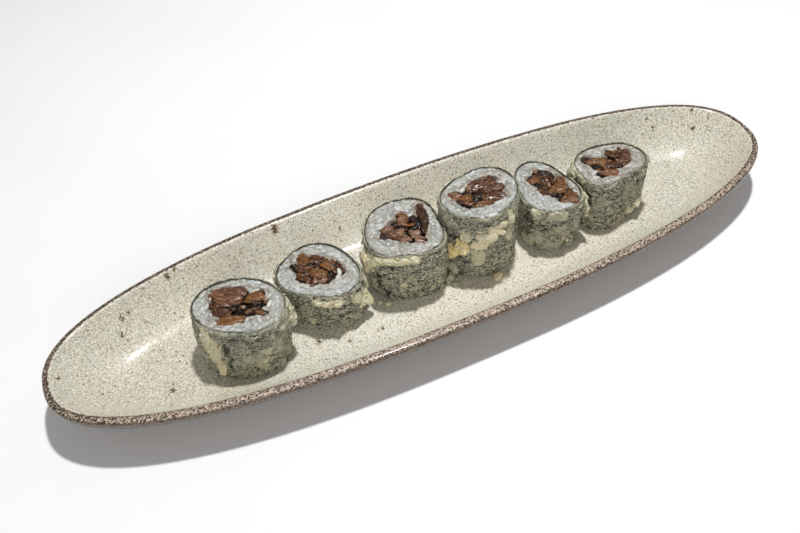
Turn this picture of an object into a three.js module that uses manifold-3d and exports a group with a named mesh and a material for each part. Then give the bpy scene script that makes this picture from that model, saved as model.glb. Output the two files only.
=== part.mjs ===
// Six fried maki rolls standing in a row on a long oval stoneware plate.
// Each roll is a seaweed wrap with batter fried onto it, a ring of pressed rice,
// and a bundle of cooked mushroom strips that runs from the cut face to the base.
// Millimetres, +Z up. The origin is the middle of the plate's flat foot, +X runs along the plate.
import * as THREE from "three";
import { mergeVertices } from "three/addons/utils/BufferGeometryUtils.js";
import Module from "manifold-3d";

const wasm = await Module();
wasm.setup();

// Plate: a superellipse in plan, |x/a|^n + |y/b|^n = 1.
const PLATE_HALF_LENGTH = 180;
const PLATE_HALF_WIDTH = 53;
const PLATE_SQUARENESS = 2.43;
const RIM_HEIGHT = 24;
const FLOOR_HEIGHT = 5;
const LIP_WIDTH = 3.3;
const LIP_DROP = 1; // how far the lip's inner edge lies under its top
const FLOOR_INSET = 27; // from the outer edge across the plate to where the floor is flat
const LENGTHWISE_INSET = 1.52; // the wall slopes in this much further at the two ends
const WALL_POWER = 1.8; // 1 is a straight slope, more starts flatter and ends steeper
const PLATE_SEGMENTS = 60;
const WALL_STEPS = 7;
// The underside from the foot to the top of the lip: inset from the outer edge, and height.
const UNDERSIDE = [
  [29, 0],
  [23.5, 1.3],
  [16, 5.2],
  [8, 12.3],
  [3.2, 17.4],
  [0.9, 19.8],
  [0, 22.4],
  [0.7, 23.7],
  [1.9, 24],
];

// Rolls
const GAP = 0.3; // between pieces that touch
const BASE = FLOOR_HEIGHT + GAP;
const NORI_THICKNESS = 0.7;
const RICE_INSET = NORI_THICKNESS + GAP; // from the seaweed's outer face to the rice
const FILLING_INSET = 2.4; // the filling stays this far inside the seaweed's outer face
const BATTER_FILM = 0.45; // the thinnest batter outside the seaweed
const BATTER_RIPPLE = 0.5;
const RIPPLE_LENGTH = 4.6;
const RIPPLE_HEIGHT = 3.4;
// Lumps of batter on a roll's far side: how many, and the ranges they are drawn from.
const FAR_LUMPS = 5;
const FAR_DEGREES = [10, 150];
const FAR_HALF_DEGREES = [9, 20];
const FAR_HALF_HEIGHT = [3, 6];
const FAR_THICKNESS = [0.8, 1.7];
const FAR_MARGIN = 4; // from the foot and from the cut face
const ROLL_SEGMENTS = 32;
const WRAP_ROWS = 6;
const NOMINAL_RADIUS = 20; // a roll is turned at this radius, then bent to its own outline
const GRAIN_BUMP = 0.45; // how far the rice grains stand up from the cut face
const GRAIN_CELL = 2.6;
const RICE_RINGS = [0.42, 0.6, 0.78, 0.93]; // shares of the rice's outer radius
const STRIP_SIDES = 8;
const STRIP_SQUARENESS = 3.2;
const STRIP_DOME = 0.26; // height of a strip's rounded top as a share of its width
const SHOULDER = 0.8; // share of a strip's size at the shoulder of its rounded top
const SHOULDER_DROP = 0.2; // share of the rounded top's height that lies above the shoulder
const CORE_DROP = 2.6; // how far the core's top lies under the cut face
const CORE_DOME = 0.4;
const CORE_SIDES = 10;
const CUT_MARGIN = 4; // a solid that is cut away runs this far past the faces it cuts

// A roll's outline is a superellipse with half-axes `across` and `along`, turned by `turn` degrees,
// with a three-sided swell of share `lobe` that peaks at `lobeTurn` degrees.
// `top` is the height of its cut face, `base` the size of its foot against its cut face, and
// `shift` where the middle of the foot lies from the middle of the cut face.
// lumps of batter: [degrees round the roll, height, half-width in degrees, half-height, thickness]
// core of the filling: [x, y, half-length, half-width, turn]
// strips of the filling: [x, y, length, width, turn, drop of the top under the cut face]
const ROLLS = [
  {
    centre: [-92.5, -4.5],
    top: 34.2,
    across: 15.6,
    along: 20.8,
    turn: 58,
    squareness: 2,
    lobe: -0.01,
    lobeTurn: 67,
    base: 0.95,
    shift: [-2.4, -1.4],
    lumps: [
      [204, 20, 15, 15, 1.4],
      [337, 27, 12, 8, 3],
      [262, 18, 26, 8, 0.5],
    ],
    core: [0.5, 0, 10.5, 7.5, -25],
    strips: [
      [-1.5, 9, 17, 4.6, -23, -0.5],
      [-5, 5, 14, 5.6, -38, -0.2],
      [-7.5, 0, 8.5, 5.5, -28, 0.1],
      [-5, -6.8, 13, 4.6, -17, -0.3],
      [8, 1.6, 9.6, 6.2, -2, -0.1],
      [7, -7.6, 7.2, 4, -45, 0.3],
      [11, -4.4, 5, 3.4, -28, 1],
      [1, -2.6, 9.5, 3.6, -50, 1.5],
    ],
  },
  {
    centre: [-53.4, 4.3],
    top: 27.5,
    across: 19.5,
    along: 15.9,
    turn: -47,
    squareness: 2.15,
    lobe: -0.063,
    lobeTurn: 49,
    base: 0.95,
    shift: [1, 0],
    lumps: [
      [263, 23.5, 26, 2.4, 1.4],
      [312, 17, 12, 5, 2],
      [336, 20, 11, 5, 2.2],
    ],
    core: [0.5, 0.5, 10, 8.4, -45],
    strips: [
      [-3.5, 9.8, 7.6, 5, -61, -0.2],
      [2, 7.2, 8.4, 5, -35, 0.2],
      [6.2, 1.6, 7.4, 5.6, -51, -0.3],
      [-4.2, 4.5, 9.4, 4.9, -44, 0],
      [0, -1.4, 7.8, 5, -25, -0.4],
      [-7, -1, 7.6, 6, -47, 0.1],
      [-3.4, -6, 6, 4, -19, 0.3],
      [2.6, -6.6, 6, 4, -13, 1],
      [9.4, -3.6, 7.8, 2.8, -88, 0.4],
      [-8.9, 6.8, 7.6, 2.6, -77, 1],
    ],
  },
  {
    centre: [-10.6, 3.3],
    top: 35.4,
    across: 18.5,
    along: 17.6,
    turn: 78,
    squareness: 2.67,
    lobe: -0.048,
    lobeTurn: -74,
    base: 0.93,
    shift: [0, 0],
    lumps: [
      [238, 32.4, 36, 2.4, 1.3],
      [183, 26, 15, 6, 4],
      [190, 12, 9, 4, 0.9],
    ],
    core: [0.5, -2, 9.5, 8, -35],
    strips: [
      [1.8, 4.4, 7.4, 6, -28, -0.4],
      [2.4, 8.4, 4.2, 4, -68, 0.2],
      [10.2, 3, 17.6, 4, -105, 0.1],
      [6, 0.6, 8.4, 4.4, -89, 1.1],
      [-6.2, 3, 7.4, 6, -17, -0.1],
      [-9, -1.8, 6, 4.8, -23, 0.9],
      [-3, -5.4, 7, 7, -36, -0.3],
      [3, -8.2, 6.8, 7, -36, 0],
    ],
  },
  {
    centre: [26.4, -1.9],
    top: 44.7,
    across: 18.6,
    along: 15.4,
    turn: 13,
    squareness: 2.21,
    lobe: 0.034,
    lobeTurn: 31,
    base: 0.92,
    shift: [-0.8, 0],
    lumps: [
      [208, 23.5, 21, 4.6, 2.3],
      [235, 29.5, 14, 3.2, 1.3],
      [256, 33.4, 14, 3, 1.3],
      [279, 36.6, 12, 3, 1.2],
      [235, 17.6, 12, 5, 1.2],
      [198, 40, 14, 3, 0.8],
      [304, 30, 8, 12, 1.3],
      [195, 9, 13, 4, 2.5],
    ],
    core: [-0.5, -0.5, 11, 6.4, 2],
    strips: [
      [3.4, 5.2, 16.8, 5, 5, -0.5],
      [5.2, 1.4, 13.5, 6, -16, -0.2],
      [-2.4, -1.2, 6.6, 6, -37, 0.9],
      [4.6, -4.2, 10.5, 5.2, -22, 0],
      [-1.6, -6.2, 13.4, 4, -7, 0.3],
      [-10.6, 4, 7, 5.4, -41, 0.1],
      [-7.2, 0, 6.4, 5.6, -67, -0.1],
      [-9.8, -2.8, 6.4, 3.4, -49, 1.2],
    ],
  },
  {
    centre: [62.3, -0.8],
    top: 31.5,
    across: 18.9,
    along: 13.1,
    turn: 93,
    squareness: 2.2,
    lobe: 0.075,
    lobeTurn: -8,
    base: 0.95,
    shift: [0, 0],
    lumps: [
      [216, 28.5, 9, 3, 1.2],
      [264, 28, 19, 3, 1.3],
      [319, 25, 15, 7, 3.4],
      [206, 10, 13, 3, 1.3],
      [250, 12, 21, 4, 0.9],
    ],
    core: [3, -1.5, 11, 5.6, -68],
    strips: [
      [4, 9, 10.6, 5.6, -47, 0],
      [-2.4, 7.4, 6.8, 5.4, -10, 0.2],
      [1.2, 3.8, 7.4, 4.8, -73, 0],
      [3.8, -2.6, 7.8, 7, -29, -0.5],
      [8, -1, 11.2, 3.8, -102, 0.1],
      [8, -7.8, 7.6, 4.2, -89, 0.1],
      [-2.2, -2, 6.4, 4.6, -73, 0.4],
      [5.4, -12.2, 9.4, 5, -24, -0.1],
      [1.8, -7, 5.4, 4.2, -60, 1.2],
    ],
  },
  {
    centre: [95.9, -2.2],
    top: 34,
    across: 17.3,
    along: 12.9,
    turn: 5,
    squareness: 2.7,
    lobe: -0.074,
    lobeTurn: -74,
    base: 0.94,
    shift: [-0.8, -1.6],
    lumps: [
      [307, 14, 9, 3.2, 1.6],
      [160, 29, 15, 5, 2.6],
    ],
    core: [0.5, -0.5, 10, 5, -12],
    strips: [
      [-5.2, 4.2, 12, 5.2, -29, -0.2],
      [-2, -1, 14.4, 4.4, -16, 0.7],
      [9.8, 2.2, 7, 6.4, -29, -0.4],
      [6.9, -1.8, 7.4, 5.8, -29, 0],
      [4.8, 4.6, 5.6, 4.8, -35, 0.8],
      [-3.5, -6, 8.4, 5, -47, -0.1],
      [-7.8, -5.8, 4, 3.8, -29, 1],
      [-8, 7.8, 3.6, 3.8, -40, 0.9],
    ],
  },
];

const toRadians = THREE.MathUtils.degToRad;
const lerp = THREE.MathUtils.lerp;

// A repeatable number from 0 to 1 for three whole numbers.
function drawn(a, b, c) {
  const s = Math.sin(a * 127.1 + b * 311.7 + c * 74.7) * 43758.5453;
  return s - Math.floor(s);
}

// Smooth noise from -1 to 1 on a grid of unit cells.
function noise(x, y, seed) {
  const i = Math.floor(x);
  const j = Math.floor(y);
  const u = THREE.MathUtils.smoothstep(x - i, 0, 1);
  const v = THREE.MathUtils.smoothstep(y - j, 0, 1);
  const low = lerp(drawn(i, j, seed), drawn(i + 1, j, seed), u);
  const high = lerp(drawn(i, j + 1, seed), drawn(i + 1, j + 1, seed), u);
  return 2 * lerp(low, high, v) - 1;
}

// A power that keeps the sign, for points on a superellipse.
function signedPower(value, power) {
  return Math.sign(value) * Math.abs(value) ** power;
}

// The closed solid that a profile of [radius, height] sweeps round Z, with each point then moved by place.
function turnedSolid(profile, segments, place) {
  const points = profile.map(([radius, height]) => new THREE.Vector2(radius, height));
  const geometry = new THREE.LatheGeometry(points, segments).rotateX(Math.PI / 2);
  geometry.deleteAttribute("normal");
  geometry.deleteAttribute("uv");
  const position = geometry.getAttribute("position");
  const point = new THREE.Vector3();
  for (let i = 0; i < position.count; i += 1) {
    point.fromBufferAttribute(position, i);
    place(point);
    position.setXYZ(i, point.x, point.y, point.z);
  }
  const merged = mergeVertices(geometry, 1e-3);
  const vertProperties = merged.getAttribute("position").array;
  const triVerts = new Uint32Array(merged.index.array);
  return new wasm.Manifold(new wasm.Mesh({ numProp: 3, vertProperties, triVerts }));
}

// The largest connected piece of a solid, without the scraps that a cut can leave.
function largestPiece(solid) {
  return solid.decompose().reduce((best, piece) => (piece.volume() > best.volume() ? piece : best));
}

function meshOf(name, solid, material) {
  const cut = solid.getMesh();
  const geometry = new THREE.BufferGeometry();
  geometry.setAttribute("position", new THREE.BufferAttribute(cut.vertProperties, 3));
  geometry.setIndex(new THREE.BufferAttribute(cut.triVerts, 1));
  geometry.computeVertexNormals();
  const mesh = new THREE.Mesh(geometry, material);
  mesh.name = name;
  return mesh;
}

// ---- Plate ----

// Height of the inner face at an inset from the plate's outer edge.
function innerHeight(inset) {
  const rise = (FLOOR_INSET - inset) / (FLOOR_INSET - LIP_WIDTH);
  return FLOOR_HEIGHT + (RIM_HEIGHT - LIP_DROP - FLOOR_HEIGHT) * rise ** WALL_POWER;
}

function plateProfile() {
  const profile = [[0, 0]];
  for (const [inset, height] of UNDERSIDE) {
    profile.push([PLATE_HALF_WIDTH - inset, height]);
  }
  for (let i = 0; i <= WALL_STEPS; i += 1) {
    const inset = lerp(LIP_WIDTH, FLOOR_INSET, i / WALL_STEPS);
    profile.push([PLATE_HALF_WIDTH - inset, innerHeight(inset)]);
  }
  profile.push([0, FLOOR_HEIGHT]);
  return profile;
}

// Moves a point of the turned plate onto the long oval of its inset.
function placeOnPlate(point) {
  const halfWidth = Math.hypot(point.x, point.y);
  const angle = Math.atan2(point.y, point.x);
  const inset = PLATE_HALF_WIDTH - halfWidth;
  const slopeInset = Math.max(0, inset - LIP_WIDTH);
  const inwards = Math.min(inset, LIP_WIDTH) + slopeInset * LENGTHWISE_INSET;
  const halfLength = halfWidth > 1 ? PLATE_HALF_LENGTH - inwards : 0;
  const power = 2 / PLATE_SQUARENESS;
  point.x = halfLength * signedPower(Math.cos(angle), power);
  point.y = halfWidth * signedPower(Math.sin(angle), power);
}

// ---- Rolls ----

// Distance from the middle of the cut face to the seaweed's outer face.
function outlineRadius(roll, angle) {
  const t = angle - toRadians(roll.turn);
  const u = Math.abs(Math.cos(t) / roll.across) ** roll.squareness;
  const v = Math.abs(Math.sin(t) / roll.along) ** roll.squareness;
  const swell = 1 + roll.lobe * Math.cos(3 * (t - toRadians(roll.lobeTurn)));
  return (u + v) ** (-1 / roll.squareness) * swell;
}

// 0 at the foot of a roll and 1 at its cut face.
function heightShare(roll, z) {
  return (z - BASE) / (roll.top - BASE);
}

// Puts a point at an angle and radius round the roll's own, slightly leaning axis.
function placeRound(roll, point, angle, radius) {
  const low = 1 - heightShare(roll, point.z);
  point.x = roll.centre[0] + roll.shift[0] * low + radius * Math.cos(angle);
  point.y = roll.centre[1] + roll.shift[1] * low + radius * Math.sin(angle);
}

function noriRadius(roll, angle, z) {
  return outlineRadius(roll, angle) * lerp(roll.base, 1, heightShare(roll, z));
}

// A rounded lump, 1 in its middle and 0 from its edge on.
function lump(angle, z, [degrees, height, halfDegrees, halfHeight, thickness]) {
  const turn = THREE.MathUtils.euclideanModulo(angle - toRadians(degrees) + Math.PI, 2 * Math.PI) - Math.PI;
  const away = Math.hypot(turn / toRadians(halfDegrees), (z - height) / halfHeight);
  return thickness * Math.sqrt(Math.max(0, 1 - away * away));
}

// Lumps on the far side of a roll, drawn from its number.
function lumpsBehind(roll, number) {
  const lumps = [];
  for (let i = 0; i < FAR_LUMPS; i += 1) {
    const degrees = lerp(...FAR_DEGREES, (i + drawn(number, i, 1)) / FAR_LUMPS);
    const height = lerp(BASE + FAR_MARGIN, roll.top - FAR_MARGIN, drawn(number, i, 2));
    const halfDegrees = lerp(...FAR_HALF_DEGREES, drawn(number, i, 3));
    const halfHeight = lerp(...FAR_HALF_HEIGHT, drawn(number, i, 4));
    const thickness = lerp(...FAR_THICKNESS, drawn(number, i, 5));
    lumps.push([degrees, height, halfDegrees, halfHeight, thickness]);
  }
  return lumps;
}

// Thickness of the batter outside the seaweed.
function batterThickness(lumps, number, angle, z) {
  const round = (angle * NOMINAL_RADIUS) / RIPPLE_LENGTH;
  const ripple = BATTER_RIPPLE * (0.5 + 0.5 * noise(round, z / RIPPLE_HEIGHT, number));
  const thickest = Math.max(...lumps.map((one) => lump(angle, z, one)));
  return BATTER_FILM + ripple + thickest;
}

// The upright planes where a roll's batter is pressed flat against the rolls beside it.
function pressPlanes(number) {
  const roll = ROLLS[number];
  const planes = [];
  for (const other of [ROLLS[number - 1], ROLLS[number + 1]]) {
    if (!other) continue;
    const way = new THREE.Vector2(other.centre[0] - roll.centre[0], other.centre[1] - roll.centre[1]);
    const mine = outlineRadius(roll, Math.atan2(way.y, way.x));
    const theirs = outlineRadius(other, Math.atan2(-way.y, -way.x));
    const reach = (way.length() + mine - theirs) / 2 - GAP / 2;
    planes.push({ way: way.normalize(), reach });
  }
  return planes;
}

function pressFlat(roll, planes, point) {
  for (const { way, reach } of planes) {
    const out = (point.x - roll.centre[0]) * way.x + (point.y - roll.centre[1]) * way.y - reach;
    if (out > 0) {
      point.x -= out * way.x;
      point.y -= out * way.y;
    }
  }
}

// A closed loop of a profile: down the seaweed's inner face, across the foot, up the batter, over the cut.
function wrapSolid(roll, number) {
  const inner = NOMINAL_RADIUS - NORI_THICKNESS;
  const outer = NOMINAL_RADIUS + BATTER_FILM;
  const profile = [[inner, roll.top], [inner, BASE]];
  for (let row = 0; row <= WRAP_ROWS; row += 1) {
    profile.push([outer, lerp(BASE, roll.top, row / WRAP_ROWS)]);
  }
  profile.push([inner, roll.top]);
  const lumps = [...roll.lumps, ...lumpsBehind(roll, number)];
  const planes = pressPlanes(number);
  return turnedSolid(profile, ROLL_SEGMENTS, (point) => {
    const angle = Math.atan2(point.y, point.x);
    const isOuter = Math.hypot(point.x, point.y) > NOMINAL_RADIUS;
    const offset = isOuter ? batterThickness(lumps, number, angle, point.z) : -NORI_THICKNESS;
    placeRound(roll, point, angle, noriRadius(roll, angle, point.z) + offset);
    if (isOuter) pressFlat(roll, planes, point);
  });
}

// A solid whose wall lies a fixed distance inside the seaweed's outer face.
function insideWrap(roll, inset, profile, heightAt) {
  return turnedSolid(profile, ROLL_SEGMENTS, (point) => {
    const angle = Math.atan2(point.y, point.x);
    const share = Math.hypot(point.x, point.y) / NOMINAL_RADIUS;
    placeRound(roll, point, angle, (noriRadius(roll, angle, point.z) - inset) * share);
    point.z = heightAt(point);
  });
}

// Rice pressed into a drum, its cut face rough with grains, with the filling's space cut out.
function riceSolid(roll, number, fillingSpace) {
  const profile = [[0, BASE], [NOMINAL_RADIUS, BASE], [NOMINAL_RADIUS, roll.top]];
  for (const share of [...RICE_RINGS].reverse()) {
    profile.push([NOMINAL_RADIUS * share, roll.top]);
  }
  profile.push([0, roll.top]);
  const drum = insideWrap(roll, RICE_INSET, profile, (point) => {
    if (point.z < roll.top - GRAIN_BUMP) return point.z;
    return point.z + GRAIN_BUMP * noise(point.x / GRAIN_CELL, point.y / GRAIN_CELL, number);
  });
  return largestPiece(drum.subtract(fillingSpace));
}

// An upright slab with a rounded oblong section and a domed top. With grow it is that much larger
// sideways and runs past both ends of the roll, to cut the slab's space out of the rice.
function slab(roll, [x, y, length, width, turn], top, dome, sides, grow) {
  const bottom = grow > 0 ? BASE - CUT_MARGIN : BASE;
  const crown = grow > 0 ? roll.top + CUT_MARGIN : top;
  const shoulder = [SHOULDER, crown - SHOULDER_DROP * dome];
  const profile = [[0, bottom], [1, bottom], [1, crown - dome], shoulder, [0, crown]];
  const power = 2 / STRIP_SQUARENESS;
  const angle = toRadians(turn);
  return turnedSolid(profile, sides, (point) => {
    const round = Math.atan2(point.y, point.x);
    const share = Math.hypot(point.x, point.y);
    const along = share * (length / 2 + grow) * signedPower(Math.cos(round), power);
    const across = share * (width / 2 + grow) * signedPower(Math.sin(round), power);
    const low = 1 - heightShare(roll, point.z);
    point.x = roll.centre[0] + roll.shift[0] * low + x + along * Math.cos(angle) - across * Math.sin(angle);
    point.y = roll.centre[1] + roll.shift[1] * low + y + along * Math.sin(angle) + across * Math.cos(angle);
  });
}

// The bundle of mushroom strips on its core. With grow it is the space the rice leaves for them.
function fillingSolid(roll, grow) {
  const [x, y, halfLength, halfWidth, turn] = roll.core;
  const coreShape = [x, y, 2 * halfLength, 2 * halfWidth, turn];
  let bundle = slab(roll, coreShape, roll.top - CORE_DROP, CORE_DOME, CORE_SIDES, grow);
  for (const [sx, sy, length, width, stripTurn, drop] of roll.strips) {
    const stripShape = [sx, sy, length, width, stripTurn];
    const strip = slab(roll, stripShape, roll.top - drop, width * STRIP_DOME, STRIP_SIDES, grow);
    bundle = bundle.add(strip);
  }
  const above = roll.top + 2 * CUT_MARGIN;
  const below = BASE - 2 * CUT_MARGIN;
  const limitProfile = [[0, below], [NOMINAL_RADIUS, below], [NOMINAL_RADIUS, above], [0, above]];
  const limit = insideWrap(roll, FILLING_INSET - grow, limitProfile, (point) => point.z);
  return largestPiece(bundle.intersect(limit));
}

// ---- Materials ----

function finish(color, roughness) {
  return new THREE.MeshStandardMaterial({ color, roughness, metalness: 0 });
}

function addPlate(group) {
  const glaze = finish(0xd8d3c0, 0.3);
  group.add(meshOf("plate", turnedSolid(plateProfile(), PLATE_SEGMENTS, placeOnPlate), glaze));
}

function addRoll(group, roll, number) {
  const name = `roll_${number + 1}`;
  const fillingSpace = fillingSolid(roll, GAP);
  group.add(meshOf(`${name}_wrap`, wrapSolid(roll, number), finish(0x6b6c58, 0.6)));
  group.add(meshOf(`${name}_rice`, riceSolid(roll, number, fillingSpace), finish(0xd5d9d8, 0.5)));
  group.add(meshOf(`${name}_filling`, fillingSolid(roll, 0), finish(0x6a3f26, 0.35)));
}

const plateOfMaki = new THREE.Group();
addPlate(plateOfMaki);
ROLLS.forEach((roll, number) => addRoll(plateOfMaki, roll, number));

export default plateOfMaki;
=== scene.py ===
"""Six fried maki rolls on a long oval speckled plate.

Sizes are in millimetres here and become metres in the meshes.
"""

import math

import bpy
import numpy as np
from mathutils import Matrix, Vector

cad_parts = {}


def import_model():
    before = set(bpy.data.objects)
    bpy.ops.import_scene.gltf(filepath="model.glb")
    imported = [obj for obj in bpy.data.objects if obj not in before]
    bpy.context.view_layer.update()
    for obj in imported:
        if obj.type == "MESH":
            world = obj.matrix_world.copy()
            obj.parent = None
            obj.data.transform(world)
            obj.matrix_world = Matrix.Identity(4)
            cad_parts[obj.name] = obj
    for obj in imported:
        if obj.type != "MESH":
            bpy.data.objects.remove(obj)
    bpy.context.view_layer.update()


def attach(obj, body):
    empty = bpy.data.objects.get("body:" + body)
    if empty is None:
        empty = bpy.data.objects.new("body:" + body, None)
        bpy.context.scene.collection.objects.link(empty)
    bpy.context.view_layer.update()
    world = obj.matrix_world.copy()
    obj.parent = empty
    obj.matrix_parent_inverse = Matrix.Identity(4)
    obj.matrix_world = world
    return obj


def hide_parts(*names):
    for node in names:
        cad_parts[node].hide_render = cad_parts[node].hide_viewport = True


MM = 0.001

# Plate: a superellipse in plan, with insets measured from its outer edge across the plate.
HALF_LENGTH, HALF_WIDTH, SQUARENESS = 180.0, 53.0, 2.43
RIM, FLOOR, LIP, LIP_DROP, FLOOR_INSET = 24.0, 5.0, 4.6, 1, 27.0
LENGTHWISE, WALL_POWER = 1.52, 2.05
OUTSIDE = [(29, 0), (23.5, 1.3), (16, 5.2), (7.3, 12.3), (2.3, 17.4), (0.5, 19.8), (0, 22.4), (0.7, 23.7),
           (1.9, 24)]
LIP_TOP = [(2.9, 24), (3.7, 23.8), (4.3, 23.4)]
PLATE_COLUMNS, WALL_ROWS, FLOOR_ROWS = 380, 34, 12

# Rolls: the seaweed's outline as in the solids.
BASE = 5.3
FOOT = 5.06
FILM, RIPPLE, RIPPLE_LENGTH, RIPPLE_HEIGHT = 0.45, 0.5, 4.6, 3.4
NOMINAL = 20.0
GAP = 0.3
ANGLES, ROWS = 324, 78
SEAWEED = 0.34
FAR_CRAGS, EDGE_CRAGS, SMALL_CRAGS, DASHES = 5, 9, 12, 110
FACE_COLUMNS, FACE_ROWS = 180, 34
GRAIN_TRIES, GRAIN_SPACE = 9000, 1.5
BIT_TRIES, BIT_SPACE = 900, 2.5

# Tones of the mushroom, places along the colour ramp of its material.
DARK, UMBER, ROSE, RUSSET, AMBER = 0.04, 0.3, 0.5, 0.7, 0.92

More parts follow.
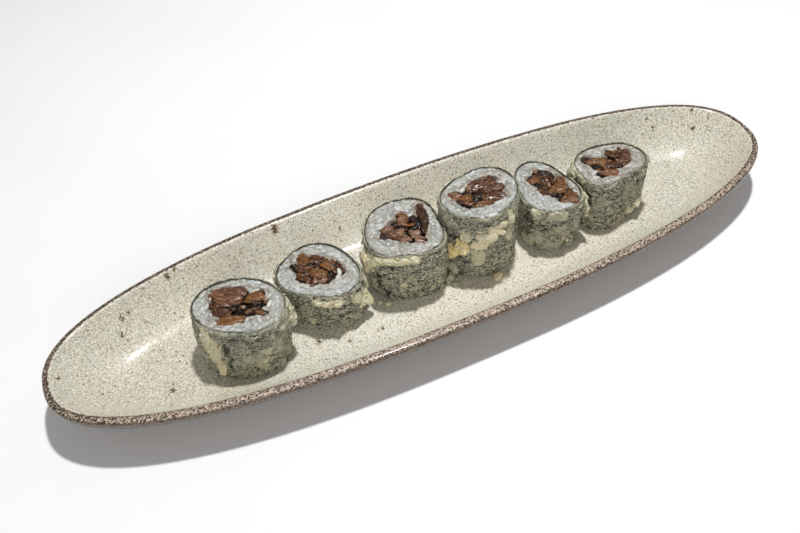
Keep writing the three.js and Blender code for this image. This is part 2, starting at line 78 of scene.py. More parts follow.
# Roll: centre, top, across, along, turn, squareness, lobe, lobe turn, base, shift of the foot.
# crags: degrees round the roll, height, half-width in degrees, half-height, thickness, tone (1 is golden)
# strips: x, y, length, width, turn, drop under the cut face, tone
# core, the filling's lower part: x, y, half-length, half-width, turn. bits: number of small pieces.
# Hollows: degrees, height, half-width in degrees, half-height; dents in the batter, also painted dark as
# shade. open: degrees, half-width, drop of the edge.
# grain: how far dashes and pits take the place of swirls in the batter. dull: how far all of the roll's rice
# is at least darkened and warmed.
ROLLS = [
    dict(centre=(-92.5, -4.5), top=34.2, across=15.6, along=20.8, turn=58, n=2, lobe=-0.01, lobe_turn=67,
         base=0.95, shift=(-2.4, -1.4),
         crags=[(201, 28, 12, 6, 1.4, 0.4), (208, 20, 12, 7, 1.4, 0.46), (216, 12, 9, 5.5, 1.2, 0.5),
                (337, 27, 12, 8, 3, 0.3), (262, 18, 12, 3, 0.5, 0.1), (280, 13, 9, 4, 0.6, 0.2),
                (305, 20, 8, 5, 0.7, 0.15), (318, 29, 12, 2.2, 0.9, 0.2), (322, 12, 11, 5, 0.6, 0.05),
                (288, 20.5, 13, 1.4, 0.5, 0.3)],
         core=(0.5, 0, 10.5, 7.5, -25), bits=12, grain=0.5,
         shaded_hollows=[(227, 23, 6, 5), (231, 14, 5, 3.4), (242, 28.5, 8, 1.8)],
         open=(286, 34, 1.5),
         strips=[(-0.7, 9.2, 14.6, 5, -23, -0.5, 0.42), (-4.4, 5.4, 13, 6, -38, -0.2, 0.5),
                 (-7.5, 0.4, 8.5, 5.8, -28, 0.1, UMBER), (-5, -6.4, 12.6, 5, -17, -0.6, 0.95),
                 (8, 1.6, 9.6, 6.2, -2, -0.1, AMBER), (7, -7.6, 7.2, 4, -45, 0.3, RUSSET),
                 (11, -4.4, 5, 3.4, -28, 1, DARK), (1, -2.6, 9.5, 3.6, -50, 1.5, DARK),
                 (-9.6, 4.4, 6, 4, -68, 0.4, 0.36)]),
    dict(centre=(-53.4, 4.3), top=27.5, across=19.5, along=15.9, turn=-47, n=2.15, lobe=-0.063, lobe_turn=49,
         base=0.95, shift=(1, 0),
         crags=[(263, 24, 26, 2, 1.8, 0.4), (312, 17, 12, 5, 1.6, 0.42), (334, 20.5, 10, 4.4, 1.7, 0.5),
                (300, 22, 9, 2.6, 1, 0.35), (228, 16, 8, 3, 0.5, 0.1), (325, 12, 7, 3, 0.9, 0.3)],
         core=(0.5, 0.5, 10, 8.4, -45), bits=28, grain=0.85, shaded_hollows=[(345, 10, 8, 4), (283, 19, 9, 1.8)],
         open=(215, 16, 0.4),
         strips=[(-3.5, 9.8, 7.6, 5, -61, -0.2, AMBER), (2, 7.2, 8.4, 5, -35, 0.2, UMBER),
                 (6.2, 1.6, 7.4, 5.6, -51, -0.3, AMBER), (-4.2, 4.5, 9.4, 4.9, -44, 0, UMBER),
                 (0, -1.4, 7.8, 5, -25, -0.4, AMBER), (-7, -1, 7.6, 6, -47, 0.1, UMBER),
                 (-3.4, -6, 6, 4, -19, 0.3, ROSE), (2.6, -6.6, 6, 4, -13, 1, DARK),
                 (9.4, -3.6, 7.8, 2.8, -88, 0.4, UMBER), (-8.9, 6.8, 7.6, 2.6, -77, 1, DARK)]),
    dict(centre=(-10.6, 3.3), top=35.4, across=18.5, along=17.6, turn=78, n=2.67, lobe=-0.048, lobe_turn=-74,
         base=0.93, shift=(0, 0),
         crags=[(238, 32.4, 36, 2.2, 1.7, 0.42), (183, 26, 15, 6, 4, 0.6), (199, 27.5, 8, 4, 2.2, 0.4),
                (190, 12, 9, 4, 0.9, 0.3),
                (204, 30, 7, 3, 1.2, 0.6), (300, 31, 9, 1.6, 0.5, 0.2)],
         core=(0.5, -2, 9.5, 8, -35), bits=10, grain=1, dull=0.3,
         shaded_hollows=[(202, 17, 12, 7), (214, 9, 8, 3), (222, 27.5, 10, 1.6)],
         open=(255, 14, 0.3),
         strips=[(1.8, 4.8, 6.4, 6.2, -28, -0.4, AMBER), (2.4, 9, 4, 3.4, -48, 0.2, ROSE),
                 (11.8, 5.2, 11.5, 4.4, -103, 0, 0.12), (9.6, -3, 9, 3.6, -112, 0.3, 0.12),
                 (6.8, 1.6, 9, 5.4, -85, 0.9, DARK),
                 (-7.4, 2.6, 5.6, 5, 10, 0, ROSE), (-6, -2, 6.4, 4.6, -30, -0.3, 0.42),
                 (-10.4, -1, 4.4, 3.6, -60, 0.7, DARK),
                 (-2.2, -2.6, 4.6, 4.4, 20, -0.2, 0.6), (-1.4, -7, 5.4, 4.4, -35, 0.1, 0.58),
                 (3.4, -5.8, 5.4, 4.8, -25, -0.4, 0.6), (4.4, -10.4, 5, 4, -35, 0.2, ROSE)]),
    dict(centre=(26.4, -1.9), top=44.7, across=18.6, along=15.4, turn=13, n=2.21, lobe=0.034, lobe_turn=31,
         base=0.92, shift=(-0.8, 0),
         crags=[(200, 22, 14, 4.4, 3.2, 1), (215, 26.6, 12, 4, 2.9, 0.96), (241, 29, 13, 2.6, 2.1, 0.62),
                (250, 33, 15, 3.6, 2.2, 0.48), (267, 35.4, 14, 3.2, 2, 0.46), (280, 37.4, 8, 2.2, 1.6, 0.4),
                (240, 20.4, 12, 5, 1.7, 0.4), (198, 40, 14, 3, 0.8, 0.1), (297, 33, 7, 11, 1.3, 0.3),
                (298, 14, 2.6, 8, 0.76, 0.15), (195, 9, 13, 4, 2.5, 0.05), (222, 33.6, 7, 3, 1, 0.42)],
         core=(-0.5, -0.5, 11, 6.4, 2), bits=12, grain=0.75,
         shaded_hollows=[(200, 30, 9, 4), (216, 15.5, 10, 2.4), (300, 9, 9, 3)],
         open=(262, 30, 0.9),
         strips=[(3.4, 5.8, 15.6, 6, 5, -0.5, UMBER), (5.2, 1.4, 13.5, 6, -16, -0.2, UMBER),
                 (-2.4, -1.2, 6.6, 6, -37, 0.9, DARK), (4.6, -4.2, 10.5, 5.2, -22, 0, UMBER),
                 (-1.6, -6.2, 13.4, 4, -7, 0.3, AMBER), (-10.6, 4, 7, 5.4, -41, 0.1, RUSSET),
                 (-7.2, 0, 6.4, 5.6, -67, -0.1, AMBER), (-9.8, -2.8, 6.4, 3.4, -49, 1.2, DARK)]),
    dict(centre=(62.3, -0.8), top=31.5, across=18.9, along=13.1, turn=93, n=2.2, lobe=0.075, lobe_turn=-8,
         base=0.95, shift=(0, 0),
         crags=[(223, 29.4, 9, 2.8, 1.1, 0.22), (258, 28.4, 17, 3, 0.9, 0.2), (319, 25, 15, 7, 3.4, 0.35),
                (206, 10, 13, 3, 1.3, 0.2), (224, 13.5, 12, 4, 0.9, 0.16), (252, 9.6, 20, 2.2, 0.7, 0.12),
                (264, 19.6, 14, 1.8, 0.5, 0.15), (290, 20, 9, 3, 0.6, 0.1)],
         core=(3, -1.5, 11, 5.6, -68), bits=22, grain=0.65,
         shaded_hollows=[(208, 22, 13, 7), (236, 18, 8, 2.2), (305, 14, 7, 4)],
         open=(235, 18, 0.4),
         strips=[(4, 9, 10.6, 5.6, -47, 0, DARK), (-2.4, 7.4, 6.8, 5.4, -10, 0.2, AMBER),
                 (1.2, 3.8, 7.4, 4.8, -73, 0, UMBER), (3.8, -2.6, 7.8, 7, -29, -0.5, AMBER),
                 (8, -1, 11.2, 3.8, -102, 0.1, RUSSET), (8, -7.8, 7.6, 4.2, -89, 0.1, UMBER),
                 (-2.2, -2, 6.4, 4.6, -73, 0.4, UMBER), (5.4, -12.2, 9.4, 5, -24, -0.1, RUSSET),
                 (1.8, -7, 5.4, 4.2, -60, 1.2, DARK)]),
    dict(centre=(95.9, -2.2), top=34, across=17.3, along=12.9, turn=5, n=2.7, lobe=-0.074, lobe_turn=-74,
         base=0.94, shift=(-0.8, -1.6),
         crags=[(299, 10.8, 12, 1.6, 1.7, 0.3), (312, 13, 9, 1.9, 2.7, 0.34), (160, 29, 15, 5, 2.6, 0.3),
                (230, 24, 10, 3, 0.5, 0.1)],
         core=(0.5, -0.5, 10, 5, -12), bits=22, grain=0.85, dull=0.5,
         shaded_hollows=[(208, 24, 8, 6), (262, 22, 9, 2), (310, 10.5, 8, 1.6)],
         open=(250, 20, 0.4),
         strips=[(-5.2, 4.2, 12, 5.2, -29, -0.2, AMBER), (-2, -1, 14.4, 4.4, -16, 0.7, DARK),
                 (9.8, 3, 7.2, 6.8, -29, -0.4, UMBER), (6.9, -1.6, 7.4, 5.8, -29, 0, UMBER),
                 (4.8, 5.6, 5.6, 5, -35, 0.4, UMBER), (-3.5, -6, 8.4, 5, -47, -0.1, AMBER),
                 (-7.8, -5.8, 4, 3.8, -29, 1, DARK), (-8, 7.8, 3.6, 3.8, -40, 0.9, DARK)]),
]

# Grains that lie on the filling, by the roll's place in ROLLS: x, y, height over the cut face, length, turn.
STRAY = {1: [(8.2, -6.2, 0.2, 5.2, 75), (6.9, -8.4, -0.1, 4.6, 40)], 0: [(12.4, -6.2, 0, 4.4, 50)],
         3: [(-6.6, 4.8, 0.2, 3.6, 30)]}
# Iron spots in the glaze: x, y, radius.
SPOTS = [(-61.6, 46, 1.9), (-131.4, -12, 1.5), (-173.4, 4.1, 0.9), (-159.5, -3.1, 0.9), (-142.2, 28.9, 1.1),
         (-138.7, 30.3, 0.8), (-144.7, 23.3, 1), (-133, 26.7, 0.8), (-117, 39.4, 1.3), (-112.7, 41.4, 1.2),
         (-64.2, -16.6, 1.6), (-51.4, -22.7, 1.1), (-35.1, -22.8, 0.9), (144.9, 26.7, 1), (-30.8, 40, 0.9),
         (162.4, 15.8, 1.3), (164.7, 21.9, 1.1), (143, 30.6, 0.9), (169.6, 14.3, 0.7)]
# Crumbs of batter on the plate: x, y, half-length, half-width, height, turn, tone.
CRUMBS = [(25.5, -20.4, 2.9, 1.9, 2.2, 20, 0.6), (29.4, -20.9, 1.1, 0.8, 1, 60, 0.6),
          (5.2, -11.4, 2.7, 2.2, 4.6, 20, 0.12),
          (7.6, -12.9, 2.4, 1.7, 3.4, -30, 0.05), (6, -14.6, 1.8, 1.3, 1.9, 10, 0.14),
          (9.2, -11.3, 1.7, 1.3, 3, 60, 0.05),
          (-27.6, -11.4, 1.9, 1.5, 2.4, 10, 0.35), (-30.2, -8.2, 1.4, 1.1, 1.6, 50, 0.4)]

# Stage, in metres. The camera's axes are right, up and back. Lights: place, size, watts.
CAMERA_PLACE = (-0.10613, -0.25935, 0.3062)
CAMERA_AXES = ((0.9096, -0.4078, -0.0799), (0.3485, 0.6439, 0.6811), (-0.2262, -0.6474, 0.7278))
FOCAL_LENGTH, SENSOR_WIDTH = 38.25, 36
LIGHTS = {"key": ((0.15, 0.1, 1.0), 0.055, 8.0), "front": ((-0.45, -1.1, 0.55), 0.7, 4.4)}
SKY_STRENGTH = 0.21
STAGE_SIZE, STAGE_HEIGHT = 3.0, -0.0004


# ---- Numbers ----

def drawn(a, b, c):
    """A repeatable number from 0 to 1 for three whole numbers."""
    s = math.sin(a * 127.1 + b * 311.7 + c * 74.7) * 43758.5453
    return s - math.floor(s)


def lattice(i, j, k, seed):
    """A repeatable number from 0 to 1 at each point of a lattice."""
    mask = np.uint64(0xFFFFFFFF)
    i, j, k = ((v & 0xFFFFFFFF).astype(np.uint64) for v in (i, j, k))
    h = (i * np.uint64(374761393) + j * np.uint64(668265263) + k * np.uint64(1440662683)) & mask
    h = (h + np.uint64(seed * 974634777 % (1 << 32))) & mask
    h = ((h ^ (h >> np.uint64(15))) * np.uint64(2246822519)) & mask
    h = ((h ^ (h >> np.uint64(13))) * np.uint64(3266489917)) & mask
    return ((h ^ (h >> np.uint64(16))) & np.uint64(0xFFFFFF)).astype(float) / 0xFFFFFF


def noise(p, size, seed):
    """Smooth noise from -1 to 1 with features of that size."""
    q = np.asarray(p, float) / size
    i = np.floor(q).astype(np.int64)
    f = q - i
    f = f * f * (3 - 2 * f)
    total = np.zeros(len(q))
    for dx in (0, 1):
        for dy in (0, 1):
            for dz in (0, 1):
                w = (f[:, 0] if dx else 1 - f[:, 0]) * (f[:, 1] if dy else 1 - f[:, 1])
                w = w * (f[:, 2] if dz else 1 - f[:, 2])
                total += w * lattice(i[:, 0] + dx, i[:, 1] + dy, i[:, 2] + dz, seed)
    return 2 * total - 1


def layered(p, size, seed, layers=3):
    """Noise in layers, each of half the size and strength."""
    total, strength, whole = 0, 1.0, 0.0
    for n in range(layers):
        total = total + strength * noise(p, size * 0.5 ** n, seed + 31 * n)
        whole += strength
        strength *= 0.5
    return total / whole


def pebbles(p, size, seed):
    """Distance to the nearest point of a jittered lattice, as a share of its size."""
    q = np.asarray(p, float) / size
    i = np.floor(q).astype(np.int64)
    best = np.full(len(q), 9.0)
    for dx in (-1, 0, 1):
        for dy in (-1, 0, 1):
            for dz in (-1, 0, 1):
                c = i + (dx, dy, dz)
                d = np.zeros(len(q))
                for axis in range(3):
                    spot = c[:, axis] + lattice(c[:, 0], c[:, 1], c[:, 2], seed + axis * 7)
                    d += (q[:, axis] - spot) ** 2
                best = np.minimum(best, d)
    return np.sqrt(best)


def ease(x, low, high):
    t = np.clip((x - low) / (high - low), 0, 1)
    return t * t * (3 - 2 * t)


def ease_off(x, limit, share, way=1):
    """Values beyond the limit pass it by only this share."""
    return np.where((x - limit) * way > 0, limit + share * (x - limit), x)


def power(value, exponent):
    """A power that keeps the sign."""
    return np.sign(value) * np.abs(value) ** exponent


def circle(count):
    return np.linspace(0, 2 * math.pi, count, endpoint=False)


def turned(x, y, radians):
    c, s = math.cos(radians), math.sin(radians)
    return x * c - y * s, x * s + y * c


def turn_from(degrees, angle):
    """How far angles lie from a direction, from -pi to pi."""
    return (angle - math.radians(degrees) + math.pi) % (2 * math.pi) - math.pi


def smooth_line(points, steps):
    """A Catmull-Rom line through the points."""
    p = np.array([points[0], *points, points[-1]], float)
    out = []
    for i in range(1, len(p) - 2):
        a, b, c, d = p[i - 1], p[i], p[i + 1], p[i + 2]
        for s in range(steps):
            t = s / steps
            square, cube = (2 * a - 5 * b + 4 * c - d) * t ** 2, (3 * b - a - 3 * c + d) * t ** 3
            out.append(0.5 * (2 * b + (c - a) * t + square + cube))
    out.append(p[-2])
    return np.array(out)


# ---- Meshes ----

def rings(rows, columns):
    """Quads between rows of a closed ring."""
    i = np.arange(rows - 1)[:, None] * columns
    j = np.arange(columns)[None, :]
    k = (j + 1) % columns
    return np.stack([i + j, i + k, i + columns + k, i + columns + j], -1).reshape(-1, 4)


def fan(start, columns, middle, up=True):
    j = np.arange(columns)
    k = (j + 1) % columns
    m = np.full(columns, middle)
    a, b = start + j, start + k
    return np.stack([a, b, m] if up else [b, a, m], -1)


def capped(rows, columns):
    """Faces of rows of a ring, and of the two middles that follow: over the last row, under the first."""
    count = rows * columns
    return [rings(rows, columns), fan(count - columns, columns, count), fan(0, columns, count + 1, False)]


def looped(rows, columns):
    """Faces of rows of a ring whose last row joins the first."""
    j = np.arange(columns)
    k, start = (j + 1) % columns, (rows - 1) * columns
    return [rings(rows, columns), np.stack([start + j, start + k, k, j], 1)]


def ball(rows, sides):
    """Directions over a sphere, ring by ring from below, and the faces between them."""
    u = np.linspace(0, math.pi, rows + 1)[1:-1]
    t = circle(sides)
    x, y = np.outer(np.sin(u), np.cos(t)).ravel(), np.outer(np.sin(u), np.sin(t)).ravel()
    d = np.stack([x, y, np.repeat(-np.cos(u), sides)], 1)
    return np.concatenate([d, [(0, 0, 1), (0, 0, -1)]]), capped(rows - 1, sides)


def link(name, data):
    """A new object in the scene."""
    made = bpy.data.objects.new(name, data)
    bpy.context.scene.collection.objects.link(made)
    return made


class Shape:
    """Collects the pieces of one mesh. Values are attributes of its points."""

    def __init__(self):
        self.points, self.faces, self.kinds, self.values, self.count = [], [], [], {}, 0

    def add(self, points, faces, material=0, **values):
        points = np.asarray(points, float).reshape(-1, 3)
        for f in faces:
            self.faces.append(f + self.count)
            self.kinds.append(np.full(len(f), material))
        for name, value in values.items():
            value = np.asarray(value, float)
            if value.ndim == 0:
                value = np.full(len(points), float(value))
            self.values.setdefault(name, []).append((self.count, value))
        self.points.append(points)
        self.count += len(points)

    def build(self, name, materials, slot, *nodes):
        points = np.concatenate(self.points) * MM
        corners = np.concatenate([f.ravel() for f in self.faces])
        sizes = np.concatenate([np.full(len(f), f.shape[1]) for f in self.faces])
        mesh = bpy.data.meshes.new(name)
        mesh.vertices.add(len(points))
        mesh.vertices.foreach_set("co", points.ravel())
        mesh.loops.add(len(corners))
        mesh.loops.foreach_set("vertex_index", corners.astype(np.int32))
        mesh.polygons.add(len(sizes))
        starts = np.cumsum(sizes) - sizes
        mesh.polygons.foreach_set("loop_start", starts.astype(np.int32))
        mesh.polygons.foreach_set("material_index", np.concatenate(self.kinds).astype(np.int32))
        mesh.update(calc_edges=True)
        mesh.polygons.foreach_set("use_smooth", np.ones(len(sizes), bool))
        for attribute, parts in self.values.items():
            wide = parts[0][1].ndim > 1
            whole = np.zeros((len(points), 3) if wide else len(points))
            for start, value in parts:
                whole[start:start + len(value)] = value
            made = mesh.attributes.new(attribute, "FLOAT_VECTOR" if wide else "FLOAT", "POINT")
            made.data.foreach_set("vector" if wide else "value", whole.astype(np.float32).ravel())
        mesh.validate()
        for m in materials:
            mesh.materials.append(m)
        piece = link(name, mesh)
        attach(piece, "root")
        if nodes:
            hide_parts(*nodes)
        return piece


# ---- Materials ----

def srgb(colour):
    """Linear colour of levels from 0 to 255. A socket is passed on."""
    if not isinstance(colour, tuple):
        return colour
    return tuple((c / 255 / 12.92 if c <= 10 else ((c / 255 + 0.055) / 1.055) ** 2.4) for c in colour) + (1,)


class Paint:
    """A Principled material and the nodes that feed it."""

    def __init__(self, name):
        self.material = bpy.data.materials.new(name)
        self.material.use_nodes = True
        self.tree = self.material.node_tree
        self.shader = self.tree.nodes["Principled BSDF"]
        self.place = self.node("ShaderNodeTexCoord").outputs["Object"]

    def put(self, socket, value):
        if isinstance(value, bpy.types.NodeSocket):
            self.tree.links.new(value, socket)
        else:
            socket.default_value = value

    def node(self, kind, inputs=(), **settings):
        made = self.tree.nodes.new(kind)
        for key, value in settings.items():
            setattr(made, key, value)
        for key, value in dict(inputs).items():
            self.put(made.inputs[key], value)
        return made

    def set(self, **values):
        for key, value in values.items():
            self.put(self.shader.inputs[key.replace("_", " ")], value)

    def scaled(self, size, where):
        return {"Vector": where or self.place, "Scale": 1 / (size * MM) if where is None else 1 / size}

    def noise(self, size, detail=2, rough=0.5, where=None, warp=0):
        inputs = {**self.scaled(size, where), "Detail": detail, "Roughness": rough, "Distortion": warp}
        return self.node("ShaderNodeTexNoise", inputs).outputs["Fac"]

    def patches(self, size, detail, low, high, most=1.0, rough=0.5, where=None, least=0.0):
        """Noise eased between two of its values."""
        return self.ease(self.noise(size, detail, rough, where), low, high, least, most)

    def stray(self, scale):
        inputs = {"Vector": self.place, "Scale": scale, "Detail": 3}
        return self.node("ShaderNodeTexNoise", inputs).outputs["Color"]

    def cells(self, size, where=None):
        """Distance to the middle of the nearest cell, and two random numbers of that cell."""
        made = self.node("ShaderNodeTexVoronoi", self.scaled(size, where))
        chance = self.node("ShaderNodeSeparateColor", {0: made.outputs["Color"]})
        return made.outputs["Distance"], chance.outputs[0], chance.outputs[1]

    def math(self, operation, a, b=0.0, clamp=False):
        return self.node("ShaderNodeMath", {0: a, 1: b}, operation=operation, use_clamp=clamp).outputs[0]

    def times(self, a, b, clamp=False):
        return self.math("MULTIPLY", a, b, clamp)

    def swing(self, value, reach):
        """A value from 0 to 1 spread about zero."""
        return self.times(self.math("SUBTRACT", value, 0.5), reach)

    def vector(self, operation, *inputs):
        return self.node("ShaderNodeVectorMath", enumerate(inputs), operation=operation).outputs[0]

    def axis(self, index):
        return self.node("ShaderNodeSeparateXYZ", {0: self.place}).outputs[index]

    def ease(self, value, low, high, first=0.0, last=1.0):
        inputs = {"Value": value, "From Min": low, "From Max": high, "To Min": first, "To Max": last}
        return self.node("ShaderNodeMapRange", inputs, interpolation_type="SMOOTHSTEP").outputs["Result"]

    def mix(self, share, a, b):
        made = self.node("ShaderNodeMix", data_type="RGBA")
        for index, value in ((0, share), (6, srgb(a)), (7, srgb(b))):
            self.put(made.inputs[index], value)
        return made.outputs[2]

    def ramp(self, value, stops):
        made = self.node("ShaderNodeValToRGB", {0: value})
        while len(made.color_ramp.elements) < len(stops):
            made.color_ramp.elements.new(0.5)
        for element, (spot, colour) in zip(made.color_ramp.elements, stops):
            element.position, element.color = spot, srgb(colour)
        return made.outputs["Color"]

    def read(self, name, output="Fac"):
        return self.node("ShaderNodeAttribute", attribute_name=name).outputs[output]

    def bump(self, height, distance, strength=1.0, under=None):
        inputs = {"Height": height, "Distance": distance * MM, "Strength": strength}
        if under is not None:
            inputs["Normal"] = under
        return self.node("ShaderNodeBump", inputs).outputs["Normal"]


def glaze_material():
    """Cream glaze with fine specks and iron spots, which breaks to iron brown over the rim. Painted light:
    lighter in the middle of the plate and darker at its ends, with painted sheen over the front of the rim.
    """
    p = Paint("speckled_glaze")
    body = p.mix(p.patches(55, 3, 0.38, 0.62), (210, 211, 198), (219, 212, 195))
    body = p.mix(p.patches(10, 3, 0.45, 0.75, 0.7), body, (222, 218, 202))
    body = p.mix(p.patches(4.5, 2, 0.44, 0.62, 0.5), body, (222, 208, 182))
    # Painted light: the glaze is lightened in the middle of the plate and darkened towards its ends.
    away = p.math("ABSOLUTE", p.axis(0))
    body = p.mix(p.ease(away, 0.03, 0.15), p.mix(0.4, body, (244, 240, 226)),
            p.mix(0.22, body, (168, 166, 148)))
    grain = p.noise(0.8, 2, 0.7)
    body = p.mix(p.ease(grain, 0.48, 0.34, 0, 0.9), body, (154, 144, 122))
    body = p.mix(p.ease(grain, 0.52, 0.64, 0, 0.9), body, (246, 242, 230))
    for size, share, tint in ((1.6, 0.5, (126, 106, 80)), (2.9, 0.66, (86, 72, 54))):
        distance, chance, _ = p.cells(size)
        here = p.ease(chance, share, share + 0.02)
        near = p.ease(distance, 0.1, 0.24, 1, 0)
        body = p.mix(p.times(p.times(near, here), 0.75), body, tint)
    distance, _, chance = p.cells(9)
    blots = p.times(p.ease(distance, 0.03, 0.1, 1, 0), p.ease(chance, 0.72, 0.73))
    body = p.mix(p.times(blots, 0.7), body, (122, 96, 66))
    jitter = p.stray(1100)
    jitter = p.vector("SUBTRACT", jitter, (0.5, 0.5, 0.5))
    moved = p.vector("MULTIPLY_ADD", jitter, (0.004, 0.004, 0), p.place)
    flat = p.vector("MULTIPLY", moved, (1, 1, 0))
    iron = None
    for x, y, radius in SPOTS:
        gap = p.node("ShaderNodeVectorMath", {0: flat, 1: (x * MM, y * MM, 0)},
                operation="DISTANCE").outputs["Value"]
        spot = p.ease(gap, radius * 0.25 * MM, radius * 1.25 * MM, 1, 0)
        iron = spot if iron is None else p.math("MAXIMUM", iron, spot)
    body = p.mix(p.ease(iron, 0.05, 0.6, 0, 0.8), body, (146, 124, 88))
    body = p.mix(p.ease(iron, 0.5, 0.9, 0, 0.9), body, (80, 66, 44))
    along = p.read("along")
    ragged = p.math("ADD", along, p.swing(p.noise(1.6, 3, 0.6), 2.4))
    # Painted sheen: the rim is made paler towards the front of the plate, where the light glances off it; the
    # random pale patches are the glaze's own beige.
    front = p.ease(p.axis(1), -0.052, 0.02, 1, 0)
    iron_band = p.mix(p.patches(1.0, 3, 0.42, 0.6, rough=0.65), (52, 42, 34), (116, 97, 82))
    beige = p.mix(p.patches(0.9, 2, 0.42, 0.58, rough=0.6), (142, 124, 108), (214, 196, 176))
    beige_and_sheen = p.math("ADD", p.patches(1.0, 3, 0.38, 0.62, rough=0.65), p.times(front, 0.62))
    band = p.mix(p.ease(beige_and_sheen, 0.75, 1.0), iron_band, beige)
    edge = p.mix(p.patches(1.0, 3, 0.42, 0.58, rough=0.65), (60, 49, 40), (126, 108, 92))
    outer = p.mix(p.patches(5, 4, 0.35, 0.7, rough=0.6), (112, 99, 89), (128, 115, 104))
    outer = p.mix(p.patches(0.8, 2, 0.55, 0.7, 0.4), outer, (88, 74, 63))
    facing = p.ease(p.axis(1), -0.048, -0.012, 1.8, 0)
    inwards = p.math("SUBTRACT", ragged, facing)
    brown = p.mix(p.ease(inwards, -0.1, 0.5), band, edge)
    brown = p.mix(p.ease(ragged, -1.9, -1.3), edge, brown)
    brown = p.mix(p.ease(ragged, -3.9, -3.1), outer, brown)
    colour = p.mix(p.ease(inwards, 0.9, 1.5), brown, body)
    p.set(Base_Color=colour, Roughness=p.patches(3, 2, 0.3, 0.7, 0.5, least=0.34), Specular_IOR_Level=0.35,
            Coat_Weight=0.3, Coat_Roughness=0.14)
    p.set(Normal=p.bump(p.noise(0.9, 2), 0.08, 0.7, p.bump(p.noise(6, 3), 0.45, 0.9)))
    return p.material


def batter_material():
    """Dark seaweed seen through a thin oily coat of batter, turning to cream and golden where the batter is
    thick. Painted shade darkens the low folds and the hollows, and painted highlight lightens the high folds.
    """
    p = Paint("fried_batter")
    grain = p.read("grain")
    crag, tone, film, lip = p.read("crag"), p.read("tone"), p.read("film"), p.read("lip")
    stray = p.stray(600)
    lying = p.vector("MULTIPLY", p.place, (1000, 1000, 2100))
    lying = p.vector("MULTIPLY_ADD", stray, (2, 2, 2), lying)
    dark = p.mix(p.patches(5, 3, 0.42, 0.6, rough=0.6, where=lying), (44, 46, 36), (98, 96, 77))
    dark = p.mix(p.patches(11, 2, 0.47, 0.62, 0.55), dark, (132, 126, 102))
    pits = p.patches(1.5, 2, 0.37, 0.46, 0, rough=0.6, where=lying, least=0.9)
    dark = p.mix(p.times(pits, grain), dark, (28, 30, 23))
    # Painted shade: darker where the surface lies low in its folds.
    dark = p.mix(p.ease(film, 0.4, 0.1, 0, 0.6), dark, (38, 40, 32))
    # Painted highlight: paler where the surface stands high in its folds.
    dark = p.mix(p.ease(film, 0.5, 0.9, 0, 0.55), dark, (190, 186, 166))
    distance, chance, _ = p.cells(1.5, lying)
    dash = p.times(p.ease(distance, 0.33, 0.46, 1, 0), p.ease(chance, 0.2, 0.3))
    wave = p.noise(3.0, 3, 0.6, lying, 0.8)
    crease = p.ease(p.math("ABSOLUTE", p.math("SUBTRACT", wave, 0.5)), 0.008, 0.045, 1, 0)
    wide = p.math("ABSOLUTE", p.math("SUBTRACT", p.noise(7, 2, 0.5, lying, 1.5), 0.5))
    swirls = p.times(crease, p.math("SUBTRACT", 0.8, p.times(grain, 0.3)))
    swirls = p.math("MAXIMUM", swirls, p.times(p.ease(wide, 0.004, 0.022, 1, 0),
            p.math("SUBTRACT", 1.15, grain), True))
    pale = p.math("MAXIMUM", swirls, p.times(dash, p.times(grain, 0.85)), True)
    dark = p.mix(pale, dark, (242, 238, 214))
    dark = p.mix(p.times(lip, p.patches(1.6, 3, 0.36, 0.58, 0.9, rough=0.6, least=0.15)), dark,
            (180, 176, 152))
    stops = [(0, (164, 168, 142)), (0.35, (204, 200, 168)), (0.6, (236, 222, 180)), (1, (255, 230, 158))]
    thick = p.ramp(tone, stops)
    paler = p.times(p.patches(2.4, 3, 0.45, 0.7, 0.6, rough=0.6), p.ease(tone, 0.05, 0.45, 0.1, 1))
    thick = p.mix(paler, thick, (248, 240, 218))
    plain = p.ease(tone, 0.6, 1, 1, 0.3)
    thick = p.mix(p.times(p.patches(1.8, 3, 0.56, 0.75, 0.45, rough=0.6), plain), thick, (178, 158, 108))
    share = p.math("ADD", crag, p.swing(p.noise(1.1, 3, 0.6), 1.2), True)
    thin = p.times(p.ease(share, 0.8, 0.45), plain)
    thick = p.mix(thin, thick, (146, 140, 108))
    # Painted shade: near black where the hollows sink deepest.
    dark = p.mix(p.ease(film, 0.0, -0.7, 0, 0.9), dark, (26, 26, 20))
    covered = p.times(p.ease(share, 0.28, 0.5), p.ease(tone, 0, 0.3, 0.5, 1))
    colour = p.mix(covered, dark, thick)
    p.set(Base_Color=colour, Roughness=p.patches(1.2, 2, 0.35, 0.65, 0.55, least=0.28))
    p.set(Subsurface_Weight=0.08, Subsurface_Radius=(0.9, 0.7, 0.4), Subsurface_Scale=MM)
    raised = p.times(pale, p.math("SUBTRACT", 1.0, covered))
    bumpy = p.times(p.noise(1.0, 3, 0.6), p.ease(covered, 0, 1, 1, 0.45))
    p.set(Normal=p.bump(raised, 0.22, 0.8, p.bump(bumpy, 0.42, 0.9)))
    return p.material


def seaweed_material():
    """Thin toasted sheet, almost black green, rough at its cut edge."""
    p = Paint("seaweed_sheet")
    colour = p.mix(p.patches(1.1, 3, 0.4, 0.65), (30, 34, 27), (84, 88, 72))
    p.set(Base_Color=colour, Roughness=p.patches(0.8, 2, 0.3, 0.7, 0.6, least=0.35))
    p.set(Normal=p.bump(p.noise(0.5, 3), 0.1))
    return p.material


